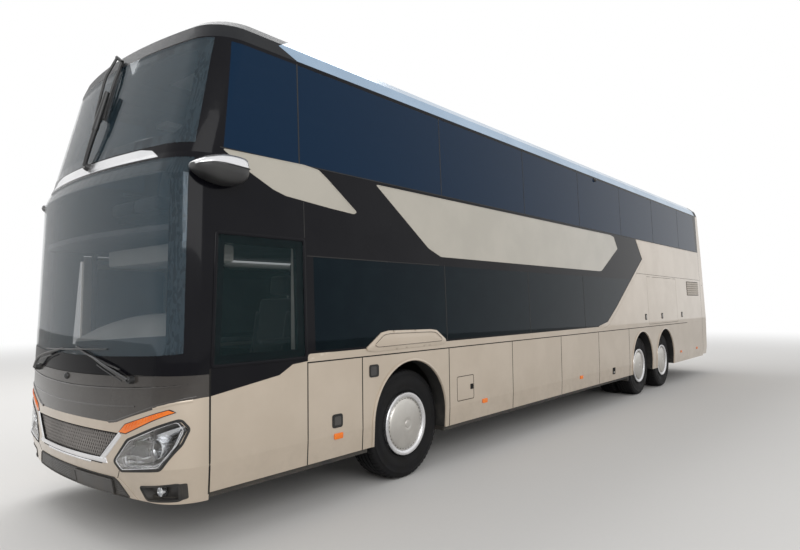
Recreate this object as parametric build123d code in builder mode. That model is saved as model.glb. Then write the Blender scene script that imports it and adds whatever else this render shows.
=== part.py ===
from build123d import *
import os
from math import cos, radians, sin, sqrt

os.makedirs("parts", exist_ok=True)

# A three-axle double-deck coach, standing on its wheels. Millimetres.
# +X is forward, +Y is the driver's side, +Z is up. The origin is on the ground,
# below the middle of the body.

# Overall size
length = 14000
width = 2550
height = 4000
half_length = length / 2
half_width = width / 2

# Thicknesses and gaps
wall = 50  # body panels, doors and window frames
skin = 12  # bonded glass and trim panels, let into the wall
plate = 40  # floors, bulkheads and wheel housings
seam = 6  # gap round a pane, door or lid
groove = 5  # width and depth of a joint line between fixed panels
seat_gap = 0.3  # pieces that lie close without touching
turn_gap = 0.8  # between a shaft and its bore

# Heights of the body's lines
bumper_bottom = 360
skirt_bottom = 410
widest = 600
belt = 1295
deck_line = 2620
screen_join = 2780
roof_edge = 3700

# Plan of the body
front_radius = 5000
rear_radius = 9000
front_corner = 300
rear_corner = 220
roof_lean = 75  # how far the side leans in between the belt and the roof edge
shoulder_side = 500  # the roof's rounded shoulder, measured inwards
shoulder_front = 620
shoulder_rear = 600
shoulder_steps = 4
front_seam = 6573  # where the side panels meet the front
rear_seam = -6560  # where they meet the rear wall

# Running gear
axle_front = 4350
axle_drive = axle_front - 6700
axle_tag = axle_drive - 1350
tyre_radius = 522
tyre_width = 295
rim_radius = 288
track_half = 1042  # wheel centre to the vehicle's centre line
twin_spacing = 330
kingpin_half = 890
arch_radius = 555
arch_height = 585
tub_inner = 525  # inner wall of a steered wheel's housing, from the centre line
tub_reach = 625  # its front and rear walls, from the axle
tub_top = 1180

# Floors
low_floor = 400
cab_floor_top = 760
luggage_floor_top = tub_top + plate
upper_floor_top = 2260
bay_front = axle_drive + tub_reach + plate
bay_rear = -4780

# Doors on the right side: rear edge, front edge, top
front_door_span = (5420, 6400, 2190)
middle_door_span = (-1560, -600, 2090)
door_bottom = 415

# Luggage doors in the rear quarters: rear edge, front edge, bottom, top
luggage_span = (-4600, -2750, 1262, 2150)

# Hinge lugs along the top of each lifting door
lug_width = 120
lug_inset = 200

# Engine lid in the rear wall: half width, bottom, top
lid_half = 900
lid_bottom = 640
lid_top = 1820


def side_inset(z):
    return roof_lean * (z - belt) / (roof_edge - belt)


# Body outlines: height, inset from the overall side, from the front, from the rear
body_levels = (
    (bumper_bottom, 13, 50, 100),
    (widest, 0, 0, 10),
    (belt, 0, 25, 0),
    (deck_line, side_inset(deck_line), 70, 80),
    (screen_join, side_inset(screen_join), 140, 90),
    (roof_edge, roof_lean, 380, 200),
)


def outlines(inset):
    rows = []
    for z, side, front, rear in body_levels:
        rows.append((z, side + inset, front + inset, rear + inset))
    if inset:
        rows[0] = (bumper_bottom - wall, *rows[0][1:])
    z, side, front, rear = rows[-1]
    for step in range(1, shoulder_steps + 1):
        turn = radians(90 * step / shoulder_steps)
        rise = (height - roof_edge - inset) * sin(turn)
        draw = 1 - cos(turn)
        rows.append((z + rise, side + shoulder_side * draw, front + shoulder_front * draw,
                     rear + shoulder_rear * draw))
    return rows


def body_solid(inset):
    with BuildPart() as solid:
        for z, side, front, rear in outlines(inset):
            half = half_width - side
            nose = half_length - front
            tail = -half_length + rear
            nose_side = nose - front_radius + sqrt(front_radius**2 - half**2)
            tail_side = tail + rear_radius - sqrt(rear_radius**2 - half**2)
            with BuildSketch(Plane.XY.offset(z)):
                with BuildLine():
                    ThreePointArc((nose_side, -half), (nose, 0), (nose_side, half))
                    Line((nose_side, half), (tail_side, half))
                    ThreePointArc((tail_side, half), (tail, 0), (tail_side, -half))
                    Line((tail_side, -half), (nose_side, -half))
                face = make_face()
                corners = face.vertices().sort_by(Axis.X)
                fillet(corners[-2:], front_corner - inset)
                fillet(corners[:2], rear_corner - inset)
        loft(ruled=True)
    return solid.part


outer_body = body_solid(0)
inner_body = body_solid(wall)
under_skin = body_solid(skin)

with BuildPart() as shell:
    add(outer_body)
    add(inner_body, mode=Mode.SUBTRACT)

with BuildPart() as thin_shell:
    add(outer_body)
    add(under_skin, mode=Mode.SUBTRACT)

# Planes to draw outlines on, and how deep a cut from each one goes
left_view = Plane.XZ.offset(-half_width - 100)
front_view = Plane.YZ.offset(half_length + 100)
rear_view = Plane.YZ.offset(-half_length - 100)
side_reach = 700
end_reach = 900


def side_block(points, corner=0, reach=side_reach):
    with BuildPart() as block:
        with BuildSketch(left_view):
            with BuildLine():
                Polyline(*points, close=True)
            face = make_face()
            if corner:
                fillet(face.vertices(), corner)
        extrude(amount=reach)
    return block.part


def front_block(points, corner=0, margin=0):
    with BuildPart() as block:
        with BuildSketch(front_view):
            with BuildLine():
                Polyline(*points, close=True)
            face = make_face()
            if corner:
                fillet(face.vertices(), corner)
            if margin:
                offset(amount=-margin, kind=Kind.INTERSECTION)
        extrude(amount=-end_reach)
    return block.part


def rear_block(points, corner=0):
    with BuildPart() as block:
        with BuildSketch(rear_view):
            with BuildLine():
                Polyline(*points, close=True)
            face = make_face()
            if corner:
                fillet(face.vertices(), corner)
        extrude(amount=end_reach)
    return block.part


def slice_of(base, low, high):
    with BuildPart() as part:
        add(base)
        with BuildSketch(Plane.XY.offset(low[2])):
            with Locations(((low[0] + high[0]) / 2, (low[1] + high[1]) / 2)):
                Rectangle(high[0] - low[0], high[1] - low[1])
        extrude(amount=high[2] - low[2], mode=Mode.INTERSECT)
    return part.part


def box_points(low_x, high_x, low_z, high_z):
    return ((low_x, low_z), (high_x, low_z), (high_x, high_z), (low_x, high_z))


def mirrored(points):
    return tuple((-y, z) for y, z in points)


def panel(base, keep, drop=()):
    with BuildPart() as piece:
        add(base)
        add(keep, mode=Mode.INTERSECT)
        if drop:
            add(drop, mode=Mode.SUBTRACT)
    return piece.part


def less(base, drop):
    with BuildPart() as piece:
        add(base)
        add(drop, mode=Mode.SUBTRACT)
    return piece.part


def block_at(low, high):
    with BuildPart() as block:
        with BuildSketch(Plane.XY.offset(low[2])):
            with Locations(((low[0] + high[0]) / 2, (low[1] + high[1]) / 2)):
                Rectangle(high[0] - low[0], high[1] - low[1])
        extrude(amount=high[2] - low[2])
    return block.part


def flank_inset(z):
    for low, high in zip(body_levels, body_levels[1:]):
        if z <= high[0]:
            return low[1] + (z - low[0]) / (high[0] - low[0]) * (high[1] - low[1])


# A straight strip that follows the flank, from inside its surface to outside
def flank(low_x, high_x, low_z, high_z, outward, inward):
    heights = [low_z] + [row[0] for row in body_levels if low_z < row[0] < high_z] + [high_z]
    outer = [(half_width - flank_inset(z) + outward, z) for z in heights]
    inner = [(half_width - flank_inset(z) - inward, z) for z in heights]
    with BuildPart() as strip:
        with BuildSketch(Plane.YZ.offset(low_x)):
            with BuildLine():
                Polyline(*outer, *inner[::-1], close=True)
            make_face()
        extrude(amount=high_x - low_x)
    return strip.part


# A recess of the given depth in a piece of the wall: the piece is moved outwards and cut to the outline
def recess_in(base, keep, direction, depth):
    return panel(base.moved(Location((direction * (wall - depth), 0, 0))), keep)


def finish(part, label):
    part.label = label
    export_step(part, f"parts/{label}.step")


def joined(parts):
    with BuildPart() as group:
        add(parts)
    return group.part


# The shell's left side, front and rear, cut apart once
big = length
side_inner = half_width - side_reach / 2
left_shell = slice_of(shell.part, (-big, side_inner, 0), (big, big, roof_edge))
left_skin = slice_of(thin_shell.part, (rear_seam, side_inner, belt - wall), (front_seam, big, roof_edge))

# Side lines
# Front posts: the line where the side frames meet the front, from the belt to the roof
post_line = ((front_seam, 1250), (6470, 2830), (6360, roof_edge))
# Edge between the painted lower side and the dark band, from the front to the rear quarter
wave_line = ((front_seam, 1062), (5970, 1151), (5839, 1222), (5685, 1235), (5440, 1290), (-320, belt),
             (-700, 1354), (-1110, 1575), (-2570, 2470), (-2270, 2825))
quarter_top = 2825

arches = [axle_front, axle_drive, axle_tag]


lip_width = 24  # raised lip round each wheel arch
lip_height = 5


def arch_block(axle_x, radius=arch_radius):
    with BuildPart() as block:
        with BuildSketch(left_view):
            with Locations((axle_x, arch_height)):
                Circle(radius)
            with Locations((axle_x, arch_height / 2)):
                Rectangle(2 * radius, arch_height)
        extrude(amount=side_reach)
    return block.part


def arch_lip(axle_x):
    radius = arch_radius + lip_width
    strip = flank(axle_x - radius, axle_x + radius, skirt_bottom, arch_height + radius, lip_height, wall / 2)
    return panel(strip, arch_block(axle_x, radius), [arch_block(axle_x)])


luggage_rear, luggage_front, luggage_bottom, luggage_top = luggage_span
luggage_hole = side_block(box_points(luggage_rear - seam, luggage_front + seam,
                                     luggage_bottom - seam, luggage_top + seam))

side_region = side_block(((front_seam, skirt_bottom),) + wave_line
                         + ((rear_seam, quarter_top), (rear_seam, skirt_bottom)))

# Joint lines in the painted side: flap and panel ends, the line under the belt, the rear quarter's
flap_top = 1220
flap_ends = (5685, 5050, 3730, 2400, 1040, -300, -1650)
level_joints = (((5685, flap_top), (-5300, flap_top - 8)), ((-2200, 2200), (rear_seam, 2170)))
quarter_lip = ((-400, 1250), (-735, 1308), (-1145, 1535), (-2600, 2425), (-2660, 2500), (-2370, 2765))
with BuildPart() as joint_lines:
    with BuildSketch(left_view):
        for x in flap_ends:
            with Locations((x, (skirt_bottom + flap_top) / 2)):
                Rectangle(groove, flap_top - skirt_bottom)
        for line in level_joints:
            with BuildLine():
                Polyline(*line)
            trace(line_width=groove)
        with BuildLine():
            Polyline(*quarter_lip)
        trace(line_width=groove)
    extrude(amount=side_reach)
    add(flank(rear_seam, front_seam, skirt_bottom - groove, quarter_top, wall, groove), mode=Mode.INTERSECT)

# Air louvre high in the rear quarter: slots that slope up into the wall
louvre_span = (-6370, -5420, 1825)  # rear end, front end, height of the lowest slot
louvre_slots = 5
louvre_pitch = 60
slot_height = 30
slot_depth = 30
louvre_cuts = []
for number in range(louvre_slots):
    low = louvre_span[2] + number * louvre_pitch
    face_y = half_width - flank_inset(low)
    with BuildPart() as slot:
        with BuildSketch(Plane.YZ.offset(louvre_span[0])):
            with BuildLine():
                Polyline((face_y + slot_depth, low), (face_y + slot_depth, low + slot_height),
                         (face_y, low + slot_height), (face_y - slot_depth, low + 1.6 * slot_height),
                         (face_y - slot_depth, low + slot_height), close=True)
            make_face()
        extrude(amount=louvre_span[1] - louvre_span[0])
    louvre_cuts.append(slot.part)

side_cuts = [arch_block(x) for x in arches] + [luggage_hole, joint_lines.part] + louvre_cuts
left_side = panel(left_shell, side_region, side_cuts)
left_side = joined([left_side] + [arch_lip(x) for x in arches])


def door_block(span, margin=0.0):
    rear, front, top = span
    return side_block(box_points(rear - margin, front + margin, door_bottom - margin, top + margin))


def to_right(part):
    return mirror(part, about=Plane.XZ)


front_door_hole = door_block(front_door_span, seam)
middle_door_hole = door_block(middle_door_span, seam)
right_drop = [front_door_hole, middle_door_hole]
below_doors = []
for rear, front, top in (front_door_span, middle_door_span):
    below_doors.append(side_block(box_points(rear - seam, front + seam, 0, door_bottom)))
right_side = panel(left_side, side_region, right_drop + below_doors)

# Fuel flap, on the driver's side only: its joint line and a round lock
flap_middle = (3430, 771.5)
flap_size = (320, 257)
flap_corner = 20
lock_at = (3310, 774)
lock_radius = 18
with BuildPart() as fuel_flap:
    with BuildSketch(left_view):
        with Locations(flap_middle):
            RectangleRounded(*flap_size, flap_corner)
            RectangleRounded(flap_size[0] - 2 * groove, flap_size[1] - 2 * groove, flap_corner - groove,
                             mode=Mode.SUBTRACT)
        with Locations(lock_at):
            Circle(lock_radius)
    extrude(amount=half_width + 100 - (half_width - groove))
left_side = panel(left_side, side_region, [fuel_flap.part])
finish(left_side, "left_side")
finish(to_right(right_side), "right_side")

# Side glass. Lower band: rear and front edge of each pane
lower_panes = ((3758, 5600), (1920, 3752), (190, 1914))
lower_glass = (1310, 2080)
upper_panes = ((5730, 6440), (3758, 5724), (1920, 3752), (190, 1914), (-1550, 184), (-3290, -1556),
               (-5030, -3296), (-6420, -5036))
upper_glass = (2840, 3670)
driver_pane = (5712, 6545, 1275, 2200)
driver_lean = 50
window_margin = 60

pane_blocks = []
hole_blocks = []
for rear, front in lower_panes:
    pane_blocks.append(side_block(box_points(rear, front, *lower_glass)))
    hole_blocks.append(side_block(box_points(rear + window_margin, front - window_margin,
                                             lower_glass[0] + window_margin,
                                             lower_glass[1] - window_margin)))
# The last two panes of the lower band end along the painted quarter
end_panes = (
    ((-560, 1347), (-330, 1310), (184, 1310), (184, 2080), (-560, 2080)),
    ((-566, 1350), (-566, 2080), (-1880, 2080), (-1100, 1600), (-700, 1372)),
)
end_holes = (
    ((-500, 1400), (-330, 1370), (124, 1370), (124, 2020), (-500, 2020)),
    ((-626, 1420), (-626, 2020), (-1700, 2020), (-1060, 1650)),
)
for pane, hole in zip(end_panes, end_holes):
    pane_blocks.append(side_block(pane))
    hole_blocks.append(side_block(hole))
for rear, front in upper_panes:
    lean = 0
    if front > 6000:
        lean = 95
    tail = 0
    if rear < -6000:
        tail = 110
    low, high = upper_glass
    pane_blocks.append(side_block(((rear, low), (front, low), (front - lean, high), (rear + tail, high))))
    hole_blocks.append(side_block(((rear + window_margin, low + window_margin),
                                   (front - window_margin, low + window_margin),
                                   (front - lean - window_margin, high - window_margin),
                                   (rear + tail + window_margin, high - window_margin))))
rear, front, low, high = driver_pane
driver_block = side_block(((rear, low), (front, low), (front - driver_lean, high), (rear, high)))
hole_blocks.append(side_block(((rear + window_margin, low + window_margin),
                               (front - window_margin, low + window_margin),
                               (front - driver_lean - window_margin, high - window_margin),
                               (rear + window_margin, high - window_margin))))

swoosh = ((4789, 2800), (4019, 2257), (3808, 2180), (-470, 2180), (-573, 2191), (-1324, 2591),
          (-1192, 2778), (-1045, 2800))
leaf = ((6440, 2825), (5674, 2835), (5517, 2819), (5418, 2758), (5070, 2512), (5105, 2494), (5388, 2514),
        (5872, 2558), (5995, 2592), (6217, 2696))
trim_blocks = [side_block(swoosh), side_block(leaf)]

frame_region = side_block(wave_line + ((rear_seam, quarter_top), (rear_seam, roof_edge)) + post_line[::-1])
panes = panel(left_skin, joined(pane_blocks))
driver_glass = panel(left_skin, driver_block)
trims = panel(left_skin, joined(trim_blocks))
left_frame = panel(left_shell, frame_region, [joined(hole_blocks), panes, driver_glass, trims])
finish(left_frame, "left_window_frame")
right_frame = panel(left_frame, frame_region, right_drop)
finish(to_right(right_frame), "right_window_frame")
right_panes = panel(panes, frame_region, right_drop)
rear_pane_points = ((-930, 2960), (930, 2960), (880, 3600), (-880, 3600))
rear_skin = slice_of(thin_shell.part, (-big, -big, 0), (rear_seam, big, roof_edge))
rear_pane = panel(rear_skin, rear_block(rear_pane_points, 60))
finish(joined([panes, to_right(right_panes)]), "window_glass")
finish(rear_pane, "rear_window")
finish(joined([driver_glass, to_right(panel(driver_glass, frame_region, right_drop))]), "cab_windows")

# Raised crest over the left front arch, across the belt
crest_points = ((5000, 1300), (4800, 1425), (4700, 1440), (4050, 1428), (3950, 1415), (3800, 1318),
                (3790, 1285), (3860, 1268), (4900, 1258), (4990, 1272))
crest_height = 10
crest = panel(flank(3700, 5100, 1240, 1460, crest_height, 0), side_block(crest_points))
finish(joined([trims, to_right(trims), crest]), "side_trim")

# Front: the part of the shell ahead of the side seams
front_points = ((front_seam, bumper_bottom), (front_seam, 1250), (6470, 2830), (6360, roof_edge),
                (half_length + 50, roof_edge), (half_length + 50, bumper_bottom))
front_region = side_block(front_points, reach=2 * half_width + 200)
panel_top = 1215
panel_edge = ((-1400, 1062), (-1275, 1062), (-1190, 1030), (-650, 872), (650, 872), (1190, 1030),
              (1275, 1062), (1400, 1062))
grille_points = ((-710, 806), (710, 806), (500, 610), (-500, 610))
lamp_points = ((690, 620), (820, 765), (1215, 915), (1245, 860), (1215, 745), (1120, 600), (745, 555))
fog_points = ((918, 460), (1215, 500), (1205, 386), (969, 372))
marker_points = ((727, 816), (790, 872), (1165, 990), (1195, 975), (800, 813))
insert_points = ((-870, 372), (870, 372), (745, 466), (700, 486), (-700, 486), (-745, 466))
insert_depth = 8
surround_points = ((-742, 806), (-560, 628), (-505, 592), (505, 592), (560, 628), (742, 806), (710, 806),
                   (500, 610), (-500, 610), (-710, 806))

bumper_block = front_block(((-1400, 300),) + panel_edge + ((1400, 300),))
front_cuts = [front_block(grille_points)]
for points in (lamp_points, fog_points, marker_points):
    front_cuts.append(front_block(points))
    front_cuts.append(front_block(mirrored(points)))
front_shell = panel(slice_of(shell.part, (6000, -big, 0), (big, big, roof_edge)), front_region)
surround = panel(front_shell, front_block(surround_points))
insert_block = front_block(insert_points)
insert = recess_in(panel(front_shell, insert_block), insert_block, 1, insert_depth)
bumper = panel(front_shell, bumper_block, front_cuts + [surround, insert])
finish(bumper, "bumper")
front_panel = panel(front_shell, front_block(panel_edge + ((1400, panel_top), (-1400, panel_top))))
finish(front_panel, "front_panel")

lower_screen_points = ((-1222, 1225), (1222, 1225), (1185, 2735), (-1185, 2735))
upper_screen_points = ((-1165, 2850), (1165, 2850), (1115, 3690), (-1115, 3690))
strip_points = ((-930, 2756), (930, 2756), (840, 2815), (700, 2840), (-700, 2840), (-840, 2815))
lower_hole_points = ((-1120, 1330), (1120, 1330), (1090, 2640), (-1090, 2640))
upper_hole_points = ((-1070, 2930), (1070, 2930), (1030, 3620), (-1030, 3620))
front_skin = panel(slice_of(thin_shell.part, (6000, -big, panel_top), (big, big, roof_edge)), front_region)
lower_screen = panel(front_skin, front_block(lower_screen_points))
upper_screen = panel(front_skin, front_block(upper_screen_points))
strip = panel(front_skin, front_block(strip_points))
front_frame_region = front_block(box_points(-1400, 1400, panel_top, roof_edge))
front_frame = panel(front_shell, front_frame_region,
                    [front_block(lower_hole_points, 80), front_block(upper_hole_points, 80),
                     lower_screen, upper_screen, strip])
finish(front_frame, "front_frame")
finish(joined([lower_screen, upper_screen]), "windscreens")

# Grille and lamps, each let into the bumper
grille_rim = 16
mesh_depth = 14
mesh_middle = (0, 708)
mesh_pitch = (150, 32)
mesh_hole = (136, 22)
mesh_count = (9, 5)
with BuildPart() as mesh_holes:
    with BuildSketch(front_view):
        with Locations(mesh_middle):
            with GridLocations(*mesh_pitch, *mesh_count):
                Rectangle(*mesh_hole)
    extrude(amount=-end_reach)
mesh_cuts = panel(mesh_holes.part, front_block(grille_points, 0, grille_rim))
grille_body = panel(front_shell, front_block(grille_points))
finish(less(grille_body, [recess_in(grille_body, mesh_cuts, 1, mesh_depth)]), "grille")

lamp_rim = 14
lamp_bowl_depth = 34
projector_radius = 62
projector_height = 18
projector_lip = 6
projector_root = 40
projector_lens = 28
lens_tip = 4
projectors = ((1060, 728, 0), (905, 672, 22))  # from the centre line, height, how much smaller


# How far forwards the body's front reaches at a place on it, with and without its rounded corner
def nose_x(y, z):
    rows = outlines(0)
    for low, high in zip(rows, rows[1:]):
        if low[0] <= z <= high[0]:
            inset = low[2] + (z - low[0]) / (high[0] - low[0]) * (high[2] - low[2])
            return half_length - inset - front_radius + sqrt(front_radius**2 - y**2)


def corner_x(y, z):
    round_in = max(0, y - half_width + front_corner)
    return nose_x(y, z) - front_corner + sqrt(front_corner**2 - round_in**2)


# A dish with a domed lens in it, standing on the floor of the headlamp's bowl and rooted in the wall
def projector(y, z, smaller):
    rim = projector_radius - smaller
    lens = projector_lens - smaller / 2
    dome = projector_lip + lens / 2
    floor_x = corner_x(y, z) - lamp_bowl_depth
    with BuildPart() as lamp:
        with BuildSketch(Plane(origin=(floor_x, y, z), x_dir=(1, 0, 0), z_dir=(0, 1, 0))):
            with BuildLine():
                Polyline((-projector_root, 0), (-projector_root, rim), (projector_height, rim),
                         (projector_height, rim - projector_lip), (projector_lip, lens))
                RadiusArc((projector_lip, lens), (dome, lens_tip), lens * 1.25)
                Polyline((dome, lens_tip), (dome, 0), (-projector_root, 0))
            make_face()
        revolve(axis=Axis((floor_x, y, z), (1, 0, 0)))
    return lamp.part


headlamp = panel(front_shell, front_block(lamp_points))
lamp_bowl = recess_in(headlamp, front_block(lamp_points, 0, lamp_rim), 1, lamp_bowl_depth)
lamp_dishes = [panel(headlamp, projector(*place)) for place in projectors]
headlamp = joined([less(headlamp, [lamp_bowl])] + lamp_dishes)
fog_lamp = panel(front_shell, front_block(fog_points))
fog_bowl = recess_in(fog_lamp, front_block(fog_points, 0, lamp_rim), 1, lamp_bowl_depth / 2)
fog_lamp = less(fog_lamp, [fog_bowl])
marker = panel(front_shell, front_block(marker_points))
lamps = [headlamp, fog_lamp, marker]
finish(joined(lamps + [to_right(lamp) for lamp in lamps]), "front_lamps")

# Roof with its silver coves
roof_region = side_block(box_points(-half_length, half_length, roof_edge, height + 50),
                         reach=2 * half_width + 200)
cove_points = ((5890, 3790), (5720, 3705), (-6500, 3705), (-6380, 3965), (5600, 3965))
roof_skin = slice_of(thin_shell.part, (-big, 0, roof_edge), (big, big, height))
cove = panel(roof_skin, side_block(cove_points))
coves = [cove, to_right(cove)]
roof = panel(slice_of(shell.part, (-big, -big, roof_edge), (big, big, height + wall)), roof_region, coves)
finish(roof, "roof")
finish(joined(coves + [strip, surround]), "bright_trim")

# Rear wall with its window, engine lid and lamps
rear_region = side_block(box_points(-half_length - 50, rear_seam, bumper_bottom, roof_edge),
                         reach=2 * half_width + 200)
rear_hole_points = ((-870, 3020), (870, 3020), (825, 3540), (-825, 3540))
lid_points = ((-lid_half, lid_bottom), (lid_half, lid_bottom), (lid_half, lid_top), (-lid_half, lid_top))
lid_hole_points = ((-lid_half - seam, lid_bottom - seam), (lid_half + seam, lid_bottom - seam),
                   (lid_half + seam, lid_top + seam), (-lid_half - seam, lid_top + seam))
rear_lamp_points = ((980, 760), (1180, 760), (1160, 1560), (1010, 1560))
rear_shell = slice_of(shell.part, (-big, -big, 0), (rear_seam, big, roof_edge))
lamp_plates = [panel(rear_skin, rear_block(rear_lamp_points)),
               panel(rear_skin, rear_block(mirrored(rear_lamp_points)))]
rear_cut_low = side_block(box_points(-half_length - 50, rear_seam, 300, 440), reach=2 * half_width + 200)
rear_wall = panel(rear_shell, rear_region,
                  [rear_block(rear_hole_points, 40), rear_block(lid_hole_points), rear_pane,
                   rear_cut_low] + lamp_plates)
finish(rear_wall, "rear_wall")

# Round lenses down each rear lamp: height and radius; each is a ring with a prouder middle
lens_y = 1083
rear_lenses = ((840, 62), (1000, 68), (1160, 68), (1320, 62), (1460, 52))
lens_steps = ((6, 0), (10, 12))  # how far proud, how much smaller


def proud_discs(plate, proud, smaller):
    with BuildPart() as discs:
        with BuildSketch(rear_view):
            for z, radius in rear_lenses:
                with Locations((lens_y, z)):
                    Circle(radius - smaller)
        extrude(amount=end_reach)
    return panel(plate.moved(Location((-proud, 0, 0))), discs.part)


left_lamp = joined([lamp_plates[0]] + [proud_discs(lamp_plates[0], *step) for step in lens_steps])
finish(joined([left_lamp, to_right(left_lamp)]), "rear_lamps")
lid_blocks = [rear_block(lid_points)]
for low_y in (-lid_half + lug_inset, lid_half - lug_inset - lug_width):
    lug_points = box_points(low_y, low_y + lug_width, lid_top - 1, lid_top + seam - seat_gap)
    lid_blocks.append(rear_block(lug_points))

# Louvre slots across the engine lid and a grip recess in its lower edge
vent_middle = (0, 1580)
vent_slots = 8
vent_pitch = 38
vent_size = (1400, 20)
vent_depth = 16
grip_middle = (0, 722)
grip_size = (240, 46)
with BuildPart() as lid_recesses:
    with BuildSketch(rear_view):
        with Locations(vent_middle):
            with GridLocations(vent_pitch, vent_pitch, 1, vent_slots):
                SlotOverall(*vent_size)
        with Locations(grip_middle):
            SlotOverall(*grip_size)
    extrude(amount=end_reach)
engine_lid = panel(rear_shell, joined(lid_blocks))
engine_lid = less(engine_lid, [recess_in(engine_lid, lid_recesses.part, -1, vent_depth)])
finish(engine_lid, "engine_lid")

# Luggage doors
door_blocks = [side_block(box_points(*luggage_span))]
for low_x in (luggage_rear + lug_inset, luggage_front - lug_inset - lug_width):
    door_blocks.append(side_block(box_points(low_x, low_x + lug_width, luggage_top - 1,
                                             luggage_top + seam - seat_gap)))
luggage_door = panel(left_shell, joined(door_blocks))
finish(luggage_door, "left_luggage_door")
finish(to_right(luggage_door), "right_luggage_door")

# Floors and housings, each cut to the inside of the body
core = body_solid(wall + seat_gap)
low_core = slice_of(core, (-big, -big, 0), (big, big, low_floor + 900))
rail_half = 380  # the main rails, from the centre line
rail_width = 80
rail_low = 300
rail_rear_low = 700
rail_rear_high = 860
jack_places = ((2600, rail_low), (-6500, rail_rear_low))  # jacking pads: middle and the rail's underside
pad_length = 160
pad_drop = 15
tub_front = axle_front + tub_reach
tub_rear = axle_front - tub_reach
neck = tub_inner - plate
step_edge = -260  # the driver's platform ends here, beside the entry

with BuildPart() as floor_part:
    add(low_core)
    with BuildSketch(Plane.XY.offset(low_floor - plate)):
        with BuildLine():
            Polyline((bay_front, big), (tub_rear, big), (tub_rear, neck), (tub_front, neck), (tub_front, big),
                     (big, big), (big, -big), (tub_front, -big), (tub_front, -neck), (tub_rear, -neck),
                     (tub_rear, -big), (bay_front, -big), close=True)
        make_face()
    extrude(amount=plate, mode=Mode.INTERSECT)
rails = []
for side in (-1, 1):
    low_y = side * rail_half - rail_width / 2
    high_y = side * rail_half + rail_width / 2
    rails.append(block_at((bay_front, low_y, rail_low), (6500, high_y, low_floor - plate)))
    rails.append(block_at((-6850, low_y, rail_rear_low), (bay_front, high_y, rail_rear_high)))
for x, low in jack_places:
    for side in (-1, 1):
        y = side * rail_half
        rails.append(block_at((x - pad_length / 2, y - rail_width / 2, low - pad_drop),
                              (x + pad_length / 2, y + rail_width / 2, low)))
bulkhead_top = upper_floor_top - plate
front_bulkhead = slice_of(core, (bay_front - plate, -big, rail_low), (bay_front, big, bulkhead_top))
platform_top = slice_of(core, (tub_front, step_edge, cab_floor_top - plate), (big, big, cab_floor_top))
platform_side = block_at((tub_front, step_edge, low_floor), (6700, step_edge + plate, cab_floor_top - plate))
finish(joined([floor_part.part, platform_top, platform_side] + rails + [front_bulkhead]), "underframe")

# Luggage floor over the rear wheels, and the wall ahead of the engine
luggage_plate = slice_of(core, (bay_rear, -big, tub_top), (bay_front - plate, big, luggage_floor_top))
engine_wall = slice_of(core, (bay_rear - plate, -big, rail_rear_high), (bay_rear, big, bulkhead_top))
tub_parts = [luggage_plate, engine_wall]
rear_tub_end = axle_tag - tub_reach
for side in (-1, 1):
    low_y, high_y = sorted((side * neck, side * tub_inner))
    tub_parts.append(block_at((rear_tub_end, low_y, rail_rear_high), (bay_front - plate, high_y, tub_top)))
    low_y, high_y = sorted((side * neck, side * big))
    tub_parts.append(slice_of(core, (rear_tub_end - plate, low_y, skirt_bottom + wall),
                              (rear_tub_end, high_y, tub_top)))
finish(joined(tub_parts), "luggage_floor")

# Housings over the steered wheels, standing on the floor beside the gangway
housings = []
for side in (-1, 1):
    low_y, high_y = sorted((side * neck, side * big))
    outside = slice_of(core, (tub_rear, low_y, low_floor - plate), (tub_front, high_y, tub_top + plate))
    hollow_y = sorted((side * tub_inner, side * big))
    hollow = block_at((tub_rear + plate, hollow_y[0], 0), (tub_front - plate, hollow_y[1], tub_top))
    housings.append(less(outside, [hollow]))
finish(joined(housings), "wheel_housings")

# Upper floor with two stairwells, and the stairs
stair_low = 560
stair_high = 1185
risers = 8
tread = 215
stair_wall = 60


def stairs_from(foot_x, direction):
    rise = (upper_floor_top - low_floor) / risers
    points = [(foot_x, low_floor)]
    for step in range(risers):
        x = foot_x + direction * step * tread
        points.append((x, low_floor + (step + 1) * rise))
        points.append((x + direction * tread, low_floor + (step + 1) * rise))
    top_x = foot_x + direction * (risers - 1) * tread
    back_x = top_x + direction * stair_wall
    underside = upper_floor_top - plate - seat_gap
    points[-2:] = [(top_x, underside), (back_x, underside)]
    points.append((back_x, low_floor + ((risers - 1) * tread + stair_wall - 2 * stair_wall) * rise / tread))
    points.append((foot_x + direction * 2 * stair_wall, low_floor))
    with BuildPart() as flight:
        with BuildSketch(Plane.XZ.offset(-stair_high)):
            with BuildLine():
                Polyline(*points, close=True)
            make_face()
        extrude(amount=stair_high - stair_low)
    return flight.part


front_stair_foot = 2150
middle_stair_foot = 30
stair_run = (risers - 1) * tread
upper_plate = slice_of(core, (-6700, -big, upper_floor_top - plate), (big, big, upper_floor_top))
well_clear = 20
front_well = block_at((front_stair_foot - well_clear, stair_low - well_clear, 2000),
                      (front_stair_foot + stair_run, stair_high - 40, 2400))
middle_well = block_at((middle_stair_foot - stair_run, stair_low - well_clear, 2000),
                       (middle_stair_foot + well_clear, stair_high - 40, 2400))
upper_floor = less(upper_plate, [front_well, middle_well])
finish(upper_floor, "upper_floor")
finish(joined([stairs_from(front_stair_foot, 1), stairs_from(middle_stair_foot, -1)]), "stairs")

# Passenger seats, two abreast on each side of the aisle
aisle_half = 200
bench_outer = 1140
seat_profile = ((0, 0), (0, 300), (-40, 330), (-40, 430), (430, 460), (560, 1120), (660, 1110), (530, 400),
                (460, 300), (420, 0))
pitch = 820


def bench(front_x, floor_z, low_y, high_y):
    points = [(front_x - x, floor_z + z) for x, z in seat_profile]
    with BuildPart() as seat:
        with BuildSketch(Plane.XZ.offset(-high_y)):
            with BuildLine():
                Polyline(*points, close=True)
            make_face()
        extrude(amount=high_y - low_y)
    return seat.part


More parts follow.
